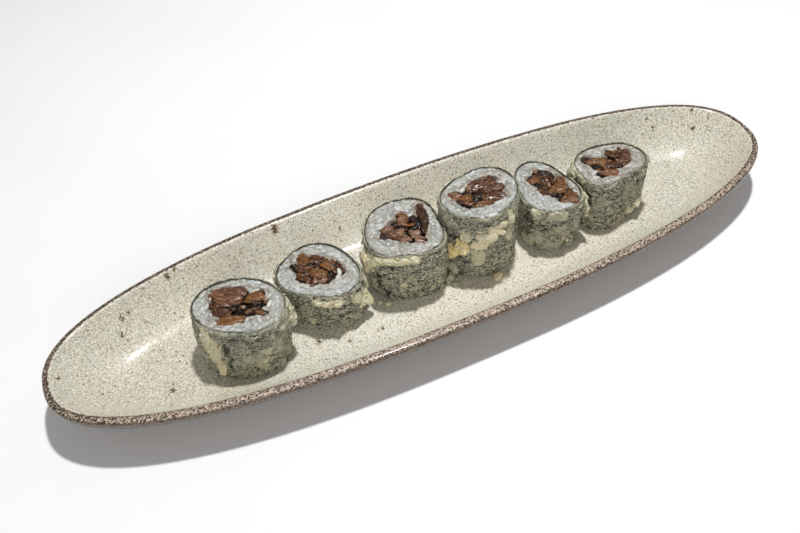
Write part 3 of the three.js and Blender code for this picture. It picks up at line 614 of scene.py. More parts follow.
def rice_material():
    """Moist pressed rice: white, a little grey, stained where it meets the mushrooms."""
    p = Paint("pressed_rice")
    body = p.mix(p.read("shade"), (173, 174, 164), (217, 218, 211))
    body = p.mix(p.patches(5, 2, 0.4, 0.7, 0.3), body, (190, 186, 172))
    stain = p.times(p.read("stain"), p.patches(2, 2, 0.38, 0.62))
    body = p.mix(p.times(stain, 0.85), body, (168, 142, 116))
    # Painted shade: darker in the gaps between grains and down the well by the filling.
    body = p.mix(p.ease(p.read("deep"), 0.2, 1.2, 0, 0.7), body, (108, 97, 84))
    p.set(Base_Color=body, Roughness=p.patches(1.4, 2, 0.3, 0.7, 0.5, least=0.3))
    p.set(Subsurface_Weight=0.45, Subsurface_Radius=(1.4, 1.2, 0.9), Subsurface_Scale=MM)
    p.set(Normal=p.bump(p.noise(0.8, 2), 0.1, 0.8))
    return p.material


def mushroom_material():
    """Cooked mushroom in dark sauce: streaked along its fibres; paler along the top edges of its pieces,
    partly their cut colour and partly painted highlight; darkened to near black in its gaps as painted shade.
    """
    p = Paint("cooked_mushroom")
    fibre = p.read("fibre", "Vector")
    tone = p.math("ADD", p.read("tone"), p.swing(p.noise(1.1, 3, 0.6, fibre), 0.85), True)
    stops = [(0, (30, 16, 11)), (0.28, (86, 51, 27)), (0.48, (108, 70, 46)), (0.6, (156, 122, 100)),
            (0.72, (112, 71, 36)), (1, (126, 84, 42))]
    colour = p.ramp(tone, stops)
    colour = p.mix(p.patches(0.6, 2, 0.5, 0.68, 0.75, where=fibre), colour, (40, 22, 14))
    # Painted highlights: pale tan patches scattered at random.
    colour = p.mix(p.patches(1.3, 2, 0.6, 0.72, 0.5), colour, (178, 130, 90))
    # Paler along the edges of the pieces: partly the cut edge's own colour, partly painted highlight.
    colour = p.mix(p.times(p.read("rim"), p.patches(1.8, 2, 0.42, 0.6, 0.65)), colour, (188, 146, 114))
    # Painted shade: near black the further below the cut face, in the gaps between the pieces.
    colour = p.mix(p.ease(p.read("deep"), 0.15, 1.15, 0, 0.94), colour, (16, 8, 5))
    p.set(Base_Color=colour, Roughness=p.patches(1.2, 2, 0.3, 0.7, 0.5, least=0.25))
    p.set(Coat_Weight=0.18, Coat_Roughness=0.14, Specular_IOR_Level=0.3, Subsurface_Weight=0.05,
            Subsurface_Radius=(1, 0.4, 0.2), Subsurface_Scale=MM)
    p.set(Normal=p.bump(p.noise(0.7, 3, 0.5, fibre), 0.16, 0.9, p.bump(p.noise(1.3, 2), 0.2)))
    return p.material


def floor_material():
    p = Paint("pale_floor")
    colour = p.mix(p.patches(90, 2, 0.3, 0.7), (252, 252, 252), (254, 254, 254))
    p.set(Base_Color=colour, Roughness=0.9)
    return p.material


# ---- Plate ----

def inner_height(inset):
    share = np.clip((FLOOR_INSET - inset) / (FLOOR_INSET - LIP), 0, 1)
    return FLOOR + (RIM - LIP_DROP - FLOOR) * share ** WALL_POWER


def make_plate(material):
    outside = smooth_line(OUTSIDE + LIP_TOP, 5)[:-1]
    insets = LIP + (FLOOR_INSET - LIP) * np.linspace(0, 1, WALL_ROWS) ** 1.1
    inside = np.stack([insets, inner_height(insets)], 1)
    profile = np.concatenate([outside, inside])
    steps = np.hypot(*np.diff(profile, axis=0).T)
    along = np.concatenate([[0], np.cumsum(steps)])
    along -= along[len(smooth_line(OUTSIDE, 5)) - 1]
    angle = circle(PLATE_COLUMNS)
    c, s = power(np.cos(angle), 2 / SQUARENESS), power(np.sin(angle), 2 / SQUARENESS)
    inset = profile[:, :1]
    half_length = HALF_LENGTH - (np.minimum(inset, LIP) + np.maximum(0, inset - LIP) * LENGTHWISE)
    x, y = half_length * c, (HALF_WIDTH - inset) * s
    z = np.broadcast_to(profile[:, 1:], x.shape)
    grid = np.stack([x, y, z], -1)
    floor = [grid[-1] * (share, share, 1) for share in np.linspace(0.92, 0.08, FLOOR_ROWS)]
    grid = np.concatenate([grid, floor])
    along = np.concatenate([along, np.linspace(along[-1] + 2, along[-1] + 24, len(floor))])
    flat = grid.reshape(-1, 3)
    inner = ease(np.repeat(along, PLATE_COLUMNS), 1, 8)
    lip = np.exp(-(np.repeat(along, PLATE_COLUMNS) / 5) ** 2)
    flat[:, 2] += inner * 0.12 * layered(flat, 34, 5) + lip * 0.22 * noise(flat, 26, 8)
    shape = Shape()
    points = np.concatenate([flat, [(0, 0, FLOOR), (0, 0, 0)]])
    values = np.concatenate([np.repeat(along, PLATE_COLUMNS), [60, -60]])
    shape.add(points, capped(len(grid), PLATE_COLUMNS), along=values)
    return shape.build("speckled_plate", [material], "glaze", "plate")


# ---- Wrap ----

def outline_radius(roll, angle):
    t = angle - math.radians(roll["turn"])
    u = np.abs(np.cos(t) / roll["across"]) ** roll["n"]
    v = np.abs(np.sin(t) / roll["along"]) ** roll["n"]
    lobes = 1 + roll["lobe"] * np.cos(3 * (t - math.radians(roll["lobe_turn"])))
    return (u + v) ** (-1 / roll["n"]) * lobes


def height_share(roll, z):
    return (z - BASE) / (roll["top"] - BASE)


def seaweed_radius(roll, angle, z):
    share = height_share(roll, z)
    return outline_radius(roll, angle) * (roll["base"] + (1 - roll["base"]) * share)


def middle(roll, z):
    """The roll's middle at a height, as it leans a little."""
    low = 1 - height_share(roll, z)
    return roll["centre"][0] + roll["shift"][0] * low, roll["centre"][1] + roll["shift"][1] * low


def at(roll, angle, radius, z):
    x, y = middle(roll, z)
    return np.stack(np.broadcast_arrays(x + radius * np.cos(angle), y + radius * np.sin(angle), z), -1)


def far_crags(roll, number):
    """Crags on the side that the photo doesn't show."""
    out = []
    for i in range(FAR_CRAGS):
        draw = [drawn(number, i, n) for n in range(1, 6)]
        degrees = 10 + 140 * (i + draw[0]) / FAR_CRAGS
        height = BASE + 4 + (roll["top"] - BASE - 8) * draw[1]
        out.append((degrees, height, 9 + 11 * draw[2], 3 + 3 * draw[3], 0.8 + 0.9 * draw[4],
                0.05 + 0.5 * draw[1] * draw[3]))
    return out


def small_crags(roll, rng):
    """Tags of batter under the cut edge, and small ones all over the side."""
    out = []
    for _ in range(EDGE_CRAGS):
        out.append((rng.uniform(-30, 190), roll["top"] - rng.uniform(1, 2.5), rng.uniform(5, 13),
                rng.uniform(1.5, 3), rng.uniform(0.3, 0.8), rng.uniform(0.1, 0.5)))
    for _ in range(SMALL_CRAGS):
        out.append((rng.uniform(0, 360), rng.uniform(BASE + 2, roll["top"] - 4), rng.uniform(2.5, 6),
                rng.uniform(0.7, 1.8), rng.uniform(0.25, 0.6), rng.uniform(0.05, 0.5)))
    return out


def batter(roll, number, crags, angle, z):
    """Thickness of the batter, how much of it is crag, its tone, and how high it stands in its folds, lowered
    in the hollows; the material turns that last value into painted shade and painted highlight.
    """
    round_about = np.stack([NOMINAL * np.cos(angle), NOMINAL * np.sin(angle), z + number * 70], 1)
    warp_a = 2.2 * layered(round_about, 4.5, 11) + 1.1 * noise(round_about, 1.4, 12)
    warp_z = 1.7 * layered(round_about, 4.5, 13) + 1.0 * noise(round_about, 1.4, 14)
    thick, tone, cover = np.zeros(len(z)), np.zeros(len(z)), np.zeros(len(z))
    for degrees, height, half, tall, most, shade in crags:
        turn = turn_from(degrees, angle)
        low = (height - z - warp_z) / tall
        away = np.hypot((turn * NOMINAL + warp_a) / (math.radians(half) * NOMINAL), low)
        body = ease(1 - away, 0, 0.25)
        this = most * body * (0.2 + 0.8 * ease(low, -1.1, 0.6))
        tone = np.where(this > thick, shade, tone)
        thick = np.maximum(thick, this)
        cover = np.maximum(cover, body * min(1, most / 0.55))
    rippled = np.stack([angle * NOMINAL / RIPPLE_LENGTH, z / RIPPLE_HEIGHT, np.full_like(z, number)], 1)
    film = 0.5 + 0.5 * noise(rippled, 1, 3)
    squashed = round_about * (1, 1, 1.9)
    folds = 1 - np.minimum(1, np.abs(layered(squashed + 0.7 * warp_a[:, None], 4.4, 19, 2)) / 0.3)
    fine = 0.75 * (folds - 0.35) + 0.6 * (0.5 - pebbles(squashed, 2.1, 17))
    fine += 0.4 * layered(squashed, 1.3, 23, 2)
    craggy = 1.5 * (0.6 - pebbles(round_about + 0.5 * warp_a[:, None], 2.7, 31))
    craggy += 0.7 * layered(round_about, 1.6, 29)
    # Hollows dent the batter and also carry painted shade: they lower the fold height, which the material
    # darkens, and clear the pale crags off.
    hollow_and_shade = np.zeros(len(z))
    for degrees, height, half, tall in roll["shaded_hollows"]:
        turn = turn_from(degrees, angle)
        away = np.hypot((turn * NOMINAL + warp_a) / (math.radians(half) * NOMINAL),
                (z - height + warp_z) / tall)
        hollow_and_shade = np.maximum(hollow_and_shade, ease(1 - away, 0, 0.4))
    swell = np.maximum(-0.25, 1.1 * layered(round_about, 12, 37, 2))
    swell += 0.5 * ease(z, 11, 6) * layered(round_about, 5, 38, 2)
    depth = FILM + RIPPLE * 0.8 * film + thick + fine + swell + cover * np.minimum(1, thick) * craggy
    high = np.clip(0.5 + 0.75 * (fine - 0.02) + 0.25 * (film - 0.5) - hollow_and_shade, -1, 1)
    return np.maximum(depth - 0.6 * hollow_and_shade, 0.2), cover * (1 - hollow_and_shade), tone, high


def press_planes(number):
    """Upright planes halfway to the neighbours, where rolls that touch are pressed flat."""
    planes = []
    roll = ROLLS[number]
    for other in [ROLLS[n] for n in (number - 1, number + 1) if 0 <= n < len(ROLLS)]:
        way = np.subtract(other["centre"], roll["centre"])
        length = math.hypot(*way)
        here = outline_radius(roll, math.atan2(way[1], way[0]))
        there = outline_radius(other, math.atan2(-way[1], -way[0]))
        planes.append((way / length, (length + here - there) / 2 - GAP / 2))
    return planes


def press(roll, number, points):
    for way, reach in press_planes(number):
        out = (points[..., :2] - roll["centre"]) @ way - reach
        points[..., :2] -= np.clip(out, 0, None)[..., None] * way
    return points


def dip(roll, angle):
    """How far the seaweed and batter stay below the rice at the cut, where the rice bulges over them."""
    degrees, half, drop = roll["open"]
    return drop * ease(1 - np.abs(turn_from(degrees, angle)) / math.radians(half), 0, 0.6)


def lump(shape, roll, degrees, z, stand, size, spin, tilt, tone, seed, rows, sides):
    """A lump of batter fried onto the wrap: an uneven slab whose lower edge stands out."""
    d, faces = ball(rows, sides)
    q = d * 2 + seed * 3.7
    rough = 0.6 if rows > 10 else 1
    swell = 1 + 0.4 * noise(q, 1.7, 83) + rough * (0.32 * noise(q, 0.8, 85)
            + 0.5 * (0.6 - pebbles(q, 0.8, 84)))
    p = power(d, 0.8) * swell[:, None] * size
    p[:, 0], p[:, 1] = turned(p[:, 0], p[:, 1], spin)
    p[:, 1], p[:, 2] = turned(p[:, 1], p[:, 2], -tilt)
    angle = math.radians(degrees)
    heights = ease_off(ease_off(z + p[:, 1], roll["top"] - 0.5, 0.1), FLOOR + 0.3, 0.1, -1)
    points = at(roll, angle, seaweed_radius(roll, np.array(angle), z)
            + ease_off(stand + p[:, 2], 0.2, 0.05, -1), heights)
    points[:, 0] -= p[:, 0] * math.sin(angle)
    points[:, 1] += p[:, 0] * math.cos(angle)
    shape.add(press(roll, roll["number"], points), faces, crag=1.0, tone=tone, film=0.7, lip=0.0)


def add_lumps(shape, roll, crags, rng, number):
    """Large lumps along the length of each crag, small ones about it, and dashes of batter all round."""
    seed = number * 500
    for degrees, height, half, tall, most, tone in crags:
        width = math.radians(half) * NOMINAL
        long, short = max(width, tall), min(width, tall)
        count = 0 if most < 0.75 else max(1, round(0.75 * long / short))
        for i in range(count + int(2 + long * short / 4)):
            big = i < count
            along = (2 * i + 1) / count - 1 if big else rng.uniform(-1.1, 1.1)
            across = rng.uniform(-0.2, 0.2) if big else rng.uniform(-1.1, 1.1)
            u, v = (along, across) if width > tall else (across, along)
            if big:
                size = [min(4.6, max(long / count, short) * rng.uniform(0.75, 0.95)),
                        min(3, short * rng.uniform(0.5, 0.75)), 0.35 + 0.38 * most]
                stand = FILM + most * rng.uniform(0.35, 0.55)
            else:
                size = [rng.uniform(0.5, 1.7), rng.uniform(0.35, 0.9), rng.uniform(0.3, 0.5) + 0.12 * most]
                stand = FILM + 0.1 + most * 0.75 * max(0, 1 - math.hypot(u, v))
            if width < tall:
                size[:2] = size[1::-1]
            shade = float(np.clip(tone + rng.normal(0, 0.1), 0.02, 1))
            lump(shape, roll, degrees + math.degrees(0.85 * u * width / NOMINAL), height + 0.85 * v * tall,
                    stand, size, rng.normal(0, 0.2), rng.normal(0.35, 0.15) + 0.6 * (tone > 0.9), shade, seed,
                    *((14, 26) if big else (6, 10)))
            seed += 1
    for _ in range(DASHES):
        size = (rng.uniform(0.5, 1.7), rng.uniform(0.2, 0.45), rng.uniform(0.2, 0.38))
        z = rng.uniform(BASE + 1, roll["top"] - 1.5)
        lump(shape, roll, rng.uniform(0, 360), z, FILM + rng.uniform(0, 0.5), size, rng.normal(0, 0.5),
                rng.normal(0.2, 0.3), rng.uniform(0.05, 0.4), seed, 4, 7)
        seed += 1


def make_wrap(roll, number, skin, sheet):
    rng = np.random.default_rng(400 + number)
    crags = roll["crags"] + far_crags(roll, number) + small_crags(roll, rng)
    top = roll["top"]
    angle = circle(ANGLES)
    heights = np.concatenate([np.linspace(FOOT, top - 0.8, ROWS), [top - 0.45, top - 0.15, top]])
    scale = np.concatenate([[0.55, 0.85], np.ones(ROWS - 4), [0.9, 0.8, 0.72, 0.62, 0.45]])
    a, z = (v.ravel() for v in np.meshgrid(angle, heights))
    # The fourth value is how high the surface stands in its folds, which the material turns into painted
    # shade and painted highlight.
    depth, crag, tone, film = batter(roll, number, crags, a, z)
    depth *= np.repeat(scale, ANGLES)
    lip = ease(z, top - 1.6, top - 0.5)
    z = z + np.where(z > top - 0.8, 0.22 * noise(np.stack([a * 9, 0 * a, 0 * a], 1), 1, 41 + number), 0)
    z = z - dip(roll, a) * ease(z, top - 6, top)
    outer = at(roll, a, seaweed_radius(roll, a, z) + depth, z)
    outer = press(roll, number, outer)
    lips = []
    for height, gap in ((top - 0.12 - dip(roll, angle), 0.02), (top - 4, 0.0), (FOOT, 0.0)):
        height = np.broadcast_to(height, ANGLES)
        lips.append(at(roll, angle, seaweed_radius(roll, angle, height) + gap, height))
    pad = np.zeros(len(lips) * ANGLES)
    shape = Shape()
    shape.add(np.concatenate([outer, *lips]), looped(len(heights) + len(lips), ANGLES),
            crag=np.concatenate([crag, np.tile(crag[-ANGLES:], len(lips))]),
            tone=np.concatenate([tone, np.tile(tone[-ANGLES:], len(lips))]),
            film=np.concatenate([film, pad + 0.7]), lip=np.concatenate([lip, pad + 1]), grain=roll["grain"])
    add_lumps(shape, roll, crags, rng, number)
    ring = np.stack([NOMINAL * np.cos(angle), NOMINAL * np.sin(angle), np.full(ANGLES, number * 9.0)], 1)
    ragged = 0.22 * noise(ring, 2.2, 61) + 0.16 * noise(ring, 0.8, 62)
    sunk = ease(noise(ring, 7, 63 + number), 0.05, 0.5) * 0.5 + dip(roll, angle)
    sunk += ease(noise(ring, 1.6, 67 + number), 0.2, 0.5) * 0.35
    thick = SEAWEED * (0.8 + 0.6 * noise(ring, 4, 64 + number)
            + 1.9 * ease(noise(ring, 2.2, 68 + number), 0.4, 0.7))
    edge = top + 0.08 + ragged - sunk
    rows = []
    for height, inset in ((FOOT, 0.02), (top - 4, 0.02), (edge - 0.1, 0.02), (edge, 0.1),
            (edge, thick - 0.08), (edge - 0.1, thick), (top - 4, thick), (FOOT, thick)):
        height = np.broadcast_to(height, ANGLES)
        rows.append(at(roll, angle, seaweed_radius(roll, angle, height) - inset, height))
    shape.add(np.concatenate(rows), looped(len(rows), ANGLES), 1)
    return shape.build(f"roll_{number + 1}_seaweed_and_batter", [skin, sheet], "wrap",
            f"roll_{number + 1}_wrap")


# ---- Rice ----

def near_filling(roll, x, y, grow=0.0):
    """Rough distance to the filling at the cut face, below zero inside it."""
    cx, cy, half_length, half_width, turn = roll["core"]
    parts = [strip[:5] for strip in roll["strips"]]
    parts.append((cx, cy, 2 * half_length - 1, 2 * half_width - 1, turn))
    best = np.full(np.shape(x), 99.0)
    for sx, sy, length, width, turn in parts:
        u, v = turned(x - roll["centre"][0] - sx, y - roll["centre"][1] - sy, -math.radians(turn))
        reach = (np.abs(u / (length / 2)) ** 3 + np.abs(v / (width / 2)) ** 3) ** (1 / 3)
        best = np.minimum(best, (reach - 1) * min(length, width) / 2)
    return best - grow


def grain_form():
    """A grain of rice of unit length and width 0.42, long axis X."""
    d, faces = ball(6, 10)
    across = np.hypot(d[:, 0], d[:, 1])
    slim = 0.21 * np.maximum(across, 1e-9) ** -0.28
    return np.stack([d[:, 2] * 0.5, d[:, 0] * slim, d[:, 1] * slim], 1), faces


GRAIN, GRAIN_FACES = grain_form()


def place_grain(shape, x, y, z, length, width, yaw, pitch, shade, stain, level=1e9):
    p = GRAIN * (length, width / 0.42, width / 0.42 * 0.85)
    p[:, 1] += 0.05 * length * (p[:, 0] / length) ** 2 * 4
    p[:, 0], p[:, 2] = turned(p[:, 0], p[:, 2], pitch)
    p[:, 0], p[:, 1] = turned(p[:, 0], p[:, 1], yaw)
    p += (x, y, z)
    p[:, 2] = ease_off(p[:, 2], level, 0.15)
    shape.add(p, GRAIN_FACES, shade=shade, stain=stain, deep=0.0)


def inside_wrap(roll, x, y, inset):
    dx, dy = x - roll["centre"][0], y - roll["centre"][1]
    return np.hypot(dx, dy) < outline_radius(roll, np.arctan2(dy, dx)) - inset


def make_rice(roll, number, material):
    rng = np.random.default_rng(700 + number)
    top = roll["top"]
    columns, shares = FACE_COLUMNS, np.linspace(1, 0.03, FACE_ROWS)
    angle = circle(columns)
    radius = seaweed_radius(roll, angle, top) - SEAWEED - 0.02
    face = [at(roll, angle, radius * share, np.full(columns, top)) for share in shares]
    grid = np.concatenate(face)
    gap = near_filling(roll, grid[:, 0], grid[:, 1], 0.15)
    share = np.repeat(shares, columns)
    bumps = 0.3 * (0.5 - pebbles(grid * (1, 1, 0), 2.4, 71 + number)) + 0.14 * layered(grid, 1.5, 73)
    well = ease(-gap, -0.5, 1.0)
    over = np.tile(dip(roll, angle), len(shares)) * ease(share, 0.9, 1)
    grid[:, 2] += -0.4 + bumps - 0.35 * ease(share, 0.95, 1) - 5 * well - 0.45 * over
    grid[:columns] = at(roll, angle, radius + 0.6 * np.minimum(1, dip(roll, angle)),
            grid[:columns, 2] - 0.2 * over[:columns])
    walls = [at(roll, angle, seaweed_radius(roll, angle, z) - SEAWEED - 0.05, np.full(columns, z))
            for z in (FOOT, top - 4, top - 2.2)]
    points = np.concatenate([*walls, grid, [(*grid[-columns:, :2].mean(0), top - 5.2),
            (*roll["centre"], FOOT)]])
    stain, dull = ease(gap, 2.2, 0.2), roll.get("dull", 0)
    side = np.zeros(len(walls) * columns)
    shape = Shape()
    # Painted shade: the bed under the grains gets a low shade and a shade depth of at least 0.75, so the gaps
    # between grains come out darker, and darker still down the well by the filling.
    shape.add(points, capped(len(walls) + len(shares), columns), shade=0.2,
            stain=np.concatenate([side, np.maximum(stain, dull), [0, 0]]),
            deep=np.concatenate([side, np.clip(well * 3 - 0.3, 0.75, 3), [3, 0]]))
    centres = []
    reach = max(roll["across"], roll["along"]) + 1
    for _ in range(GRAIN_TRIES):
        x, y = np.array(roll["centre"]) + rng.uniform(-reach, reach, 2)
        length, width = rng.uniform(4.4, 6), rng.uniform(2.0, 2.5)
        yaw, pitch = rng.uniform(0, math.pi), rng.normal(0, 0.16)
        if rng.random() < 0.15:
            pitch = rng.uniform(0.7, 1.4)
        half = 0.42 * length * math.cos(pitch)
        ends = np.array([(x + k * half * math.cos(yaw), y + k * half * math.sin(yaw)) for k in (-1, 0, 1)])
        over = dip(roll, math.atan2(y - roll["centre"][1], x - roll["centre"][0]))
        if not inside_wrap(roll, ends[:, 0], ends[:, 1], SEAWEED + 0.85 - 0.8 * min(1, over)).all():
            continue
        gaps = near_filling(roll, ends[:, 0], ends[:, 1])
        if gaps.min() < 0.3 or any((x - a) ** 2 + (y - b) ** 2 < GRAIN_SPACE ** 2 for a, b in centres):
            continue
        centres.append((x, y))
        edge = 0.35 * float(ease(gaps.min(), 1.2, 0.3))
        z = top - 0.75 + rng.uniform(-0.25, 0.2) - (0.9 if pitch > 0.6 else 0) - edge
        stained = max(dull * rng.uniform(0.5, 1.5), float(ease(gaps.min(), 2.2, 0.5)) * rng.uniform(0.2, 1))
        place_grain(shape, x, y, z, length, width, yaw, pitch, rng.uniform(0, 1), stained,
                top - 0.1 + rng.uniform(-0.13, 0.08) - edge)
    for x, y, z, length, yaw in STRAY.get(number, []):
        x, y = x + roll["centre"][0], y + roll["centre"][1]
        place_grain(shape, x, y, top + z, length, 2.2, math.radians(yaw), 0.05, 0.9, 0.0)
    return shape.build(f"roll_{number + 1}_rice_grains", [material], "rice", f"roll_{number + 1}_rice")


# ---- Filling ----

def add_core(shape, roll, seed):
    """The filling's lower part: a slab down to the foot with an uneven outline, ridged along its top."""
    x0, y0, half_length, half_width, turn = roll["core"]
    rng = np.random.default_rng(seed)
    length, width = 2 * half_length - 0.8, 2 * half_width - 0.8
    sides, edge = 120, 2
    top = roll["top"] - 1.9
    crown = rng.uniform(-0.45, 0.3)
    insets, heights = [0, 0, 0, 0], [FOOT, top - 6, top - 3, top - edge]
    for degrees in (22, 45, 68, 90):
        insets.append(edge * (1 - math.cos(math.radians(degrees))))
        heights.append(top - edge + edge * math.sin(math.radians(degrees)))
    for share in np.linspace(0, 1, 11)[1:]:
        insets.append(edge + (width / 2 * 0.97 - edge) * share)
        heights.append(top + crown * math.sin(share * math.pi / 2))
    t = circle(sides)
    n = 2 / rng.uniform(2.8, 4.2)
    round_about = np.stack([np.cos(t), np.sin(t), np.full(sides, seed * 3.1)], 1)
    uneven = 1 + 0.13 * noise(round_about, 0.8, 91) + 0.05 * noise(round_about, 0.3, 92)
    u = np.concatenate([(length / 2 * uneven - i) * power(np.cos(t), n) for i in insets])
    v = np.concatenate([(width / 2 * uneven - i) * power(np.sin(t), n) for i in insets])
    z = np.repeat(heights, sides).astype(float)
    upper = ease(z, top - 5, top - 1.2)
    bend, tilt, lean = rng.uniform(-1.1, 1.1), rng.uniform(-0.08, 0.08), rng.uniform(-0.16, 0.16)
    wave, pitch = rng.uniform(0, 6), rng.uniform(3.2, 4.6)
    rib = np.abs(np.sin(v * pitch / 2 + 0.8 * np.sin(u * 0.6 + wave))) - 0.6
    z = z + upper * (tilt * u + lean * v + 0.35 * rng.uniform(0.3, 1.3) * rib)
    v = v + bend * (2 * u / length) ** 2 * upper - 0.5 * bend * upper
    ax, ay = middle(roll, z)
    x, y = turned(u, v, math.radians(turn))
    p = np.stack([ax + x0 + x, ay + y0 + y, z], 1)
    for axis in range(3):
        p[:, axis] += upper * 1.1 * (layered(p, 2.8, seed * 3 + axis, 2)
                + 0.5 * noise(p, 0.9, seed * 3 + axis + 50))
    d = np.hypot(p[:, 0] - ax, p[:, 1] - ay)
    a = np.arctan2(p[:, 1] - ay, p[:, 0] - ax)
    shrink = np.minimum(1, (seaweed_radius(roll, a, p[:, 2]) - 1.5) / np.maximum(d, 1e-6))
    p[:, 0], p[:, 1] = ax + (p[:, 0] - ax) * shrink, ay + (p[:, 1] - ay) * shrink
    points = np.concatenate([p, [p[-sides:].mean(0), p[:sides].mean(0)]])
    fibre = np.concatenate([np.stack([u / 3.5, v, np.full_like(u, seed * 1.7)], 1), [(0, 0, seed * 1.7)] * 2])
    # Painted shade: the depth below the cut face, plus a little, darkens the core's top where it shows in the
    # gaps between the pieces.
    deep = np.clip(roll["top"] - 0.3 - points[:, 2], 0, 6) + 0.3
    # The slab's top edge, made paler in the material: partly its cut colour, partly painted highlight.
    rim = np.concatenate([np.exp(-(np.repeat(insets, sides) / 0.5) ** 2) * upper, [0, 0]])
    shape.add(points, capped(len(insets), sides), tone=0.1, fibre=fibre, deep=deep, rim=rim)


def chunk(shape, roll, data, seed, fine=False):
    """A cut piece of mushroom: a box with jittered faces and cut corners, tilted and ridged."""
    x0, y0, length, width, turn, drop, tone = data
    rng = np.random.default_rng(seed)
    d, faces = ball(*((22, 44) if fine else (12, 18)))
    normals = np.concatenate([np.eye(3), -np.eye(3)]) + rng.normal(0, 0.13, (6, 3))
    cuts = rng.normal(0, 1, (7, 3)) * (1, 1, 0.8)
    cuts[:, 2] = np.abs(cuts[:, 2])
    normals = np.concatenate([normals, cuts])
    normals /= np.linalg.norm(normals, axis=1)[:, None]
    reach = np.concatenate([rng.uniform(0.92, 1.05, 6), rng.uniform(0.88, 1.2, 7)])
    radius = (np.maximum(0, d @ normals.T / reach) ** 40).sum(1) ** (-1 / 40)
    p = d * radius[:, None] * (length / 2, width / 2, max(1.6, width * 0.5))
    fibre = np.stack([p[:, 0] / 7, p[:, 1], p[:, 2] + seed * 1.7], 1)
    wave, pitch = rng.uniform(0, 6), rng.uniform(3.4, 5)
    rib = np.abs(np.sin(p[:, 1] * pitch / 2 + 0.8 * np.sin(p[:, 0] * 0.6 + wave))) - 0.6
    upper = ease(d[:, 2], 0.1, 0.5)
    p[:, 2] += upper * (0.42 if fine else 0.15) * rib
    for _ in range(2 if fine else 0):
        line = p[:, 1] - rng.uniform(-0.35, 0.35) * width - 0.25 * np.sin(p[:, 0] * 0.7 + wave)
        line -= 0.1 * p[:, 0]
        p[:, 2] -= upper * 0.7 * np.exp(-(line / 0.22) ** 2)
    p[:, 1] += rng.uniform(-0.09, 0.09) * width * (2 * p[:, 0] / length) ** 2
    steep = 0.1 if fine else 0.38
    for axis, tilt in ((0, rng.normal(0, steep)), (1, rng.normal(0, steep * 0.7))):
        p[:, 1 - axis], p[:, 2] = turned(p[:, 1 - axis], p[:, 2], tilt)
    top = roll["top"] - drop
    p[:, 0], p[:, 1] = turned(p[:, 0], p[:, 1], math.radians(turn))
    p += (roll["centre"][0] + x0, roll["centre"][1] + y0, top - np.percentile(p[:, 2], 96))
    for axis in range(3):
        uneven = (0.24 if fine else 0.12) * layered(p, 2.2, seed * 3 + axis, 2)
        p[:, axis] += uneven + 0.09 * noise(p, 0.9, seed * 3 + axis + 50)
    level = top - (0.2 if fine else 0.1)
    p[:, 2] = ease_off(p[:, 2], level, 0.35)
    # Painted shade: the depth below the cut face darkens the lower parts of the piece, in the gaps.
    deep = np.clip(roll["top"] - 0.4 - p[:, 2], 0, 6)
    # A band round the edges of the piece's top and bottom, made paler in the material: partly its cut colour,
    # partly painted highlight.
    rim = np.clip(1 - (np.abs(d[:, 2]) - 0.55) ** 2 / 0.02, 0, 1)
    shape.add(p, faces, tone=tone, fibre=fibre, deep=deep, rim=rim)


def make_filling(roll, number, material):
    rng = np.random.default_rng(900 + number)
    shape = Shape()
    add_core(shape, roll, 50 + number)
    for i, (x, y, length, width, turn, drop, tone) in enumerate(roll["strips"]):
        chunk(shape, roll, (x, y, length + 0.8, width + 0.8, turn, drop, tone), 100 * number + i + 200, True)
    placed = []
    for i in range(BIT_TRIES):
        k = rng.integers(len(roll["strips"]))
        sx, sy, length, width, turn, drop, tone = roll["strips"][k]
        x, y = sx + rng.uniform(-0.6, 0.6) * length, sy + rng.uniform(-0.7, 0.7) * width
        away = near_filling(roll, np.array(x + roll["centre"][0]), np.array(y + roll["centre"][1]))
        if away > -0.5 or len(placed) == roll["bits"]:
            continue
        if any((x - a) ** 2 + (y - b) ** 2 < BIT_SPACE ** 2 for a, b in placed):
            continue
        placed.append((x, y))
        size = (rng.uniform(2.6, 5.2), rng.uniform(1.1, 2.1))
        pick = tone if rng.random() < 0.5 else (DARK, UMBER, ROSE, RUSSET, AMBER, UMBER)[rng.integers(6)]
        chunk(shape, roll, (x, y, *size, turn + rng.uniform(-50, 50), rng.uniform(-0.2, 0.7), pick),
                1000 + 100 * number + i)
    return shape.build(f"roll_{number + 1}_mushroom_strips", [material], "filling",
            f"roll_{number + 1}_filling")


# ---- Crumbs ----

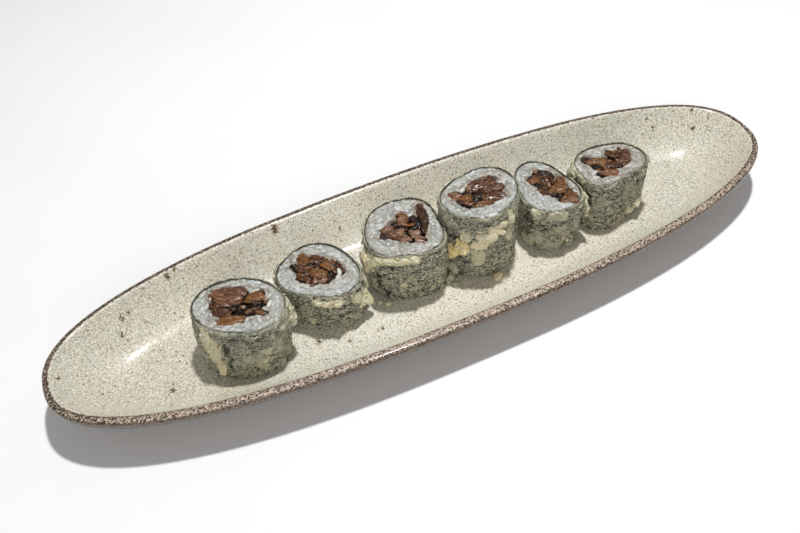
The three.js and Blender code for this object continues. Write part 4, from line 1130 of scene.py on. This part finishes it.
def make_crumbs(material):
    shape = Shape()
    unit, faces = ball(16, 28)
    for number, (x, y, half_length, half_width, height, turn, tone) in enumerate(CRUMBS):
        q = unit * 3 + number * 9
        swell = 1 + 0.4 * noise(q, 2.4, 81) + 0.2 * noise(q, 1.1, 82) + 0.35 * (0.6 - pebbles(q, 1.3, 86))
        p = unit * swell[:, None] * (half_length, half_width, height / 2)
        ground = FLOOR + 0.05
        dx, dy = turned(p[:, 0], p[:, 1], math.radians(turn))
        points = np.stack([x + dx, y + dy, np.maximum(ground, ground + height * 0.42 + p[:, 2])], 1)
        shape.add(points, faces, crag=1.0 if tone > 0.1 else 0.5, tone=tone, film=0.75, lip=0.0)
    return shape.build("batter_crumbs", [material], "wrap")


# ---- Stage ----

def make_camera():
    data = bpy.data.cameras.new("camera")
    data.lens, data.sensor_width, data.sensor_fit = FOCAL_LENGTH, SENSOR_WIDTH, "HORIZONTAL"
    camera = link("camera", data)
    turn = Matrix(CAMERA_AXES).transposed().to_quaternion()
    camera.matrix_world = Matrix.Translation(CAMERA_PLACE) @ turn.to_matrix().to_4x4()
    bpy.context.scene.camera = camera


def make_stage():
    mesh = bpy.data.meshes.new("floor")
    signs = ((-1, -1), (1, -1), (1, 1), (-1, 1))
    corners = [(x * STAGE_SIZE, y * STAGE_SIZE, STAGE_HEIGHT) for x, y in signs]
    mesh.from_pydata(corners, [], [(0, 1, 2, 3)])
    mesh.materials.append(floor_material())
    floor = link("floor", mesh)
    world = bpy.data.worlds.new("studio")
    world.use_nodes = True
    sky = world.node_tree.nodes["Background"].inputs
    sky["Color"].default_value, sky["Strength"].default_value = (1, 1, 1, 1), SKY_STRENGTH
    bpy.context.scene.world = world
    for name, (place, size, watts) in LIGHTS.items():
        data = bpy.data.lights.new(name, "AREA")
        data.energy, data.size = watts, size
        light = link(name, data)
        light.location = place
        light.rotation_euler = (-Vector(place)).to_track_quat("-Z", "Y").to_euler()
    bpy.context.scene.view_settings.view_transform = "Standard"


def main():
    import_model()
    make_camera()
    make_stage()
    make_plate(glaze_material())
    skin, sheet, rice, mushroom = batter_material(), seaweed_material(), rice_material(), mushroom_material()
    for number, roll in enumerate(ROLLS):
        roll["number"] = number
        make_wrap(roll, number, skin, sheet)
        make_rice(roll, number, rice)
        make_filling(roll, number, mushroom)
    make_crumbs(skin)


main()
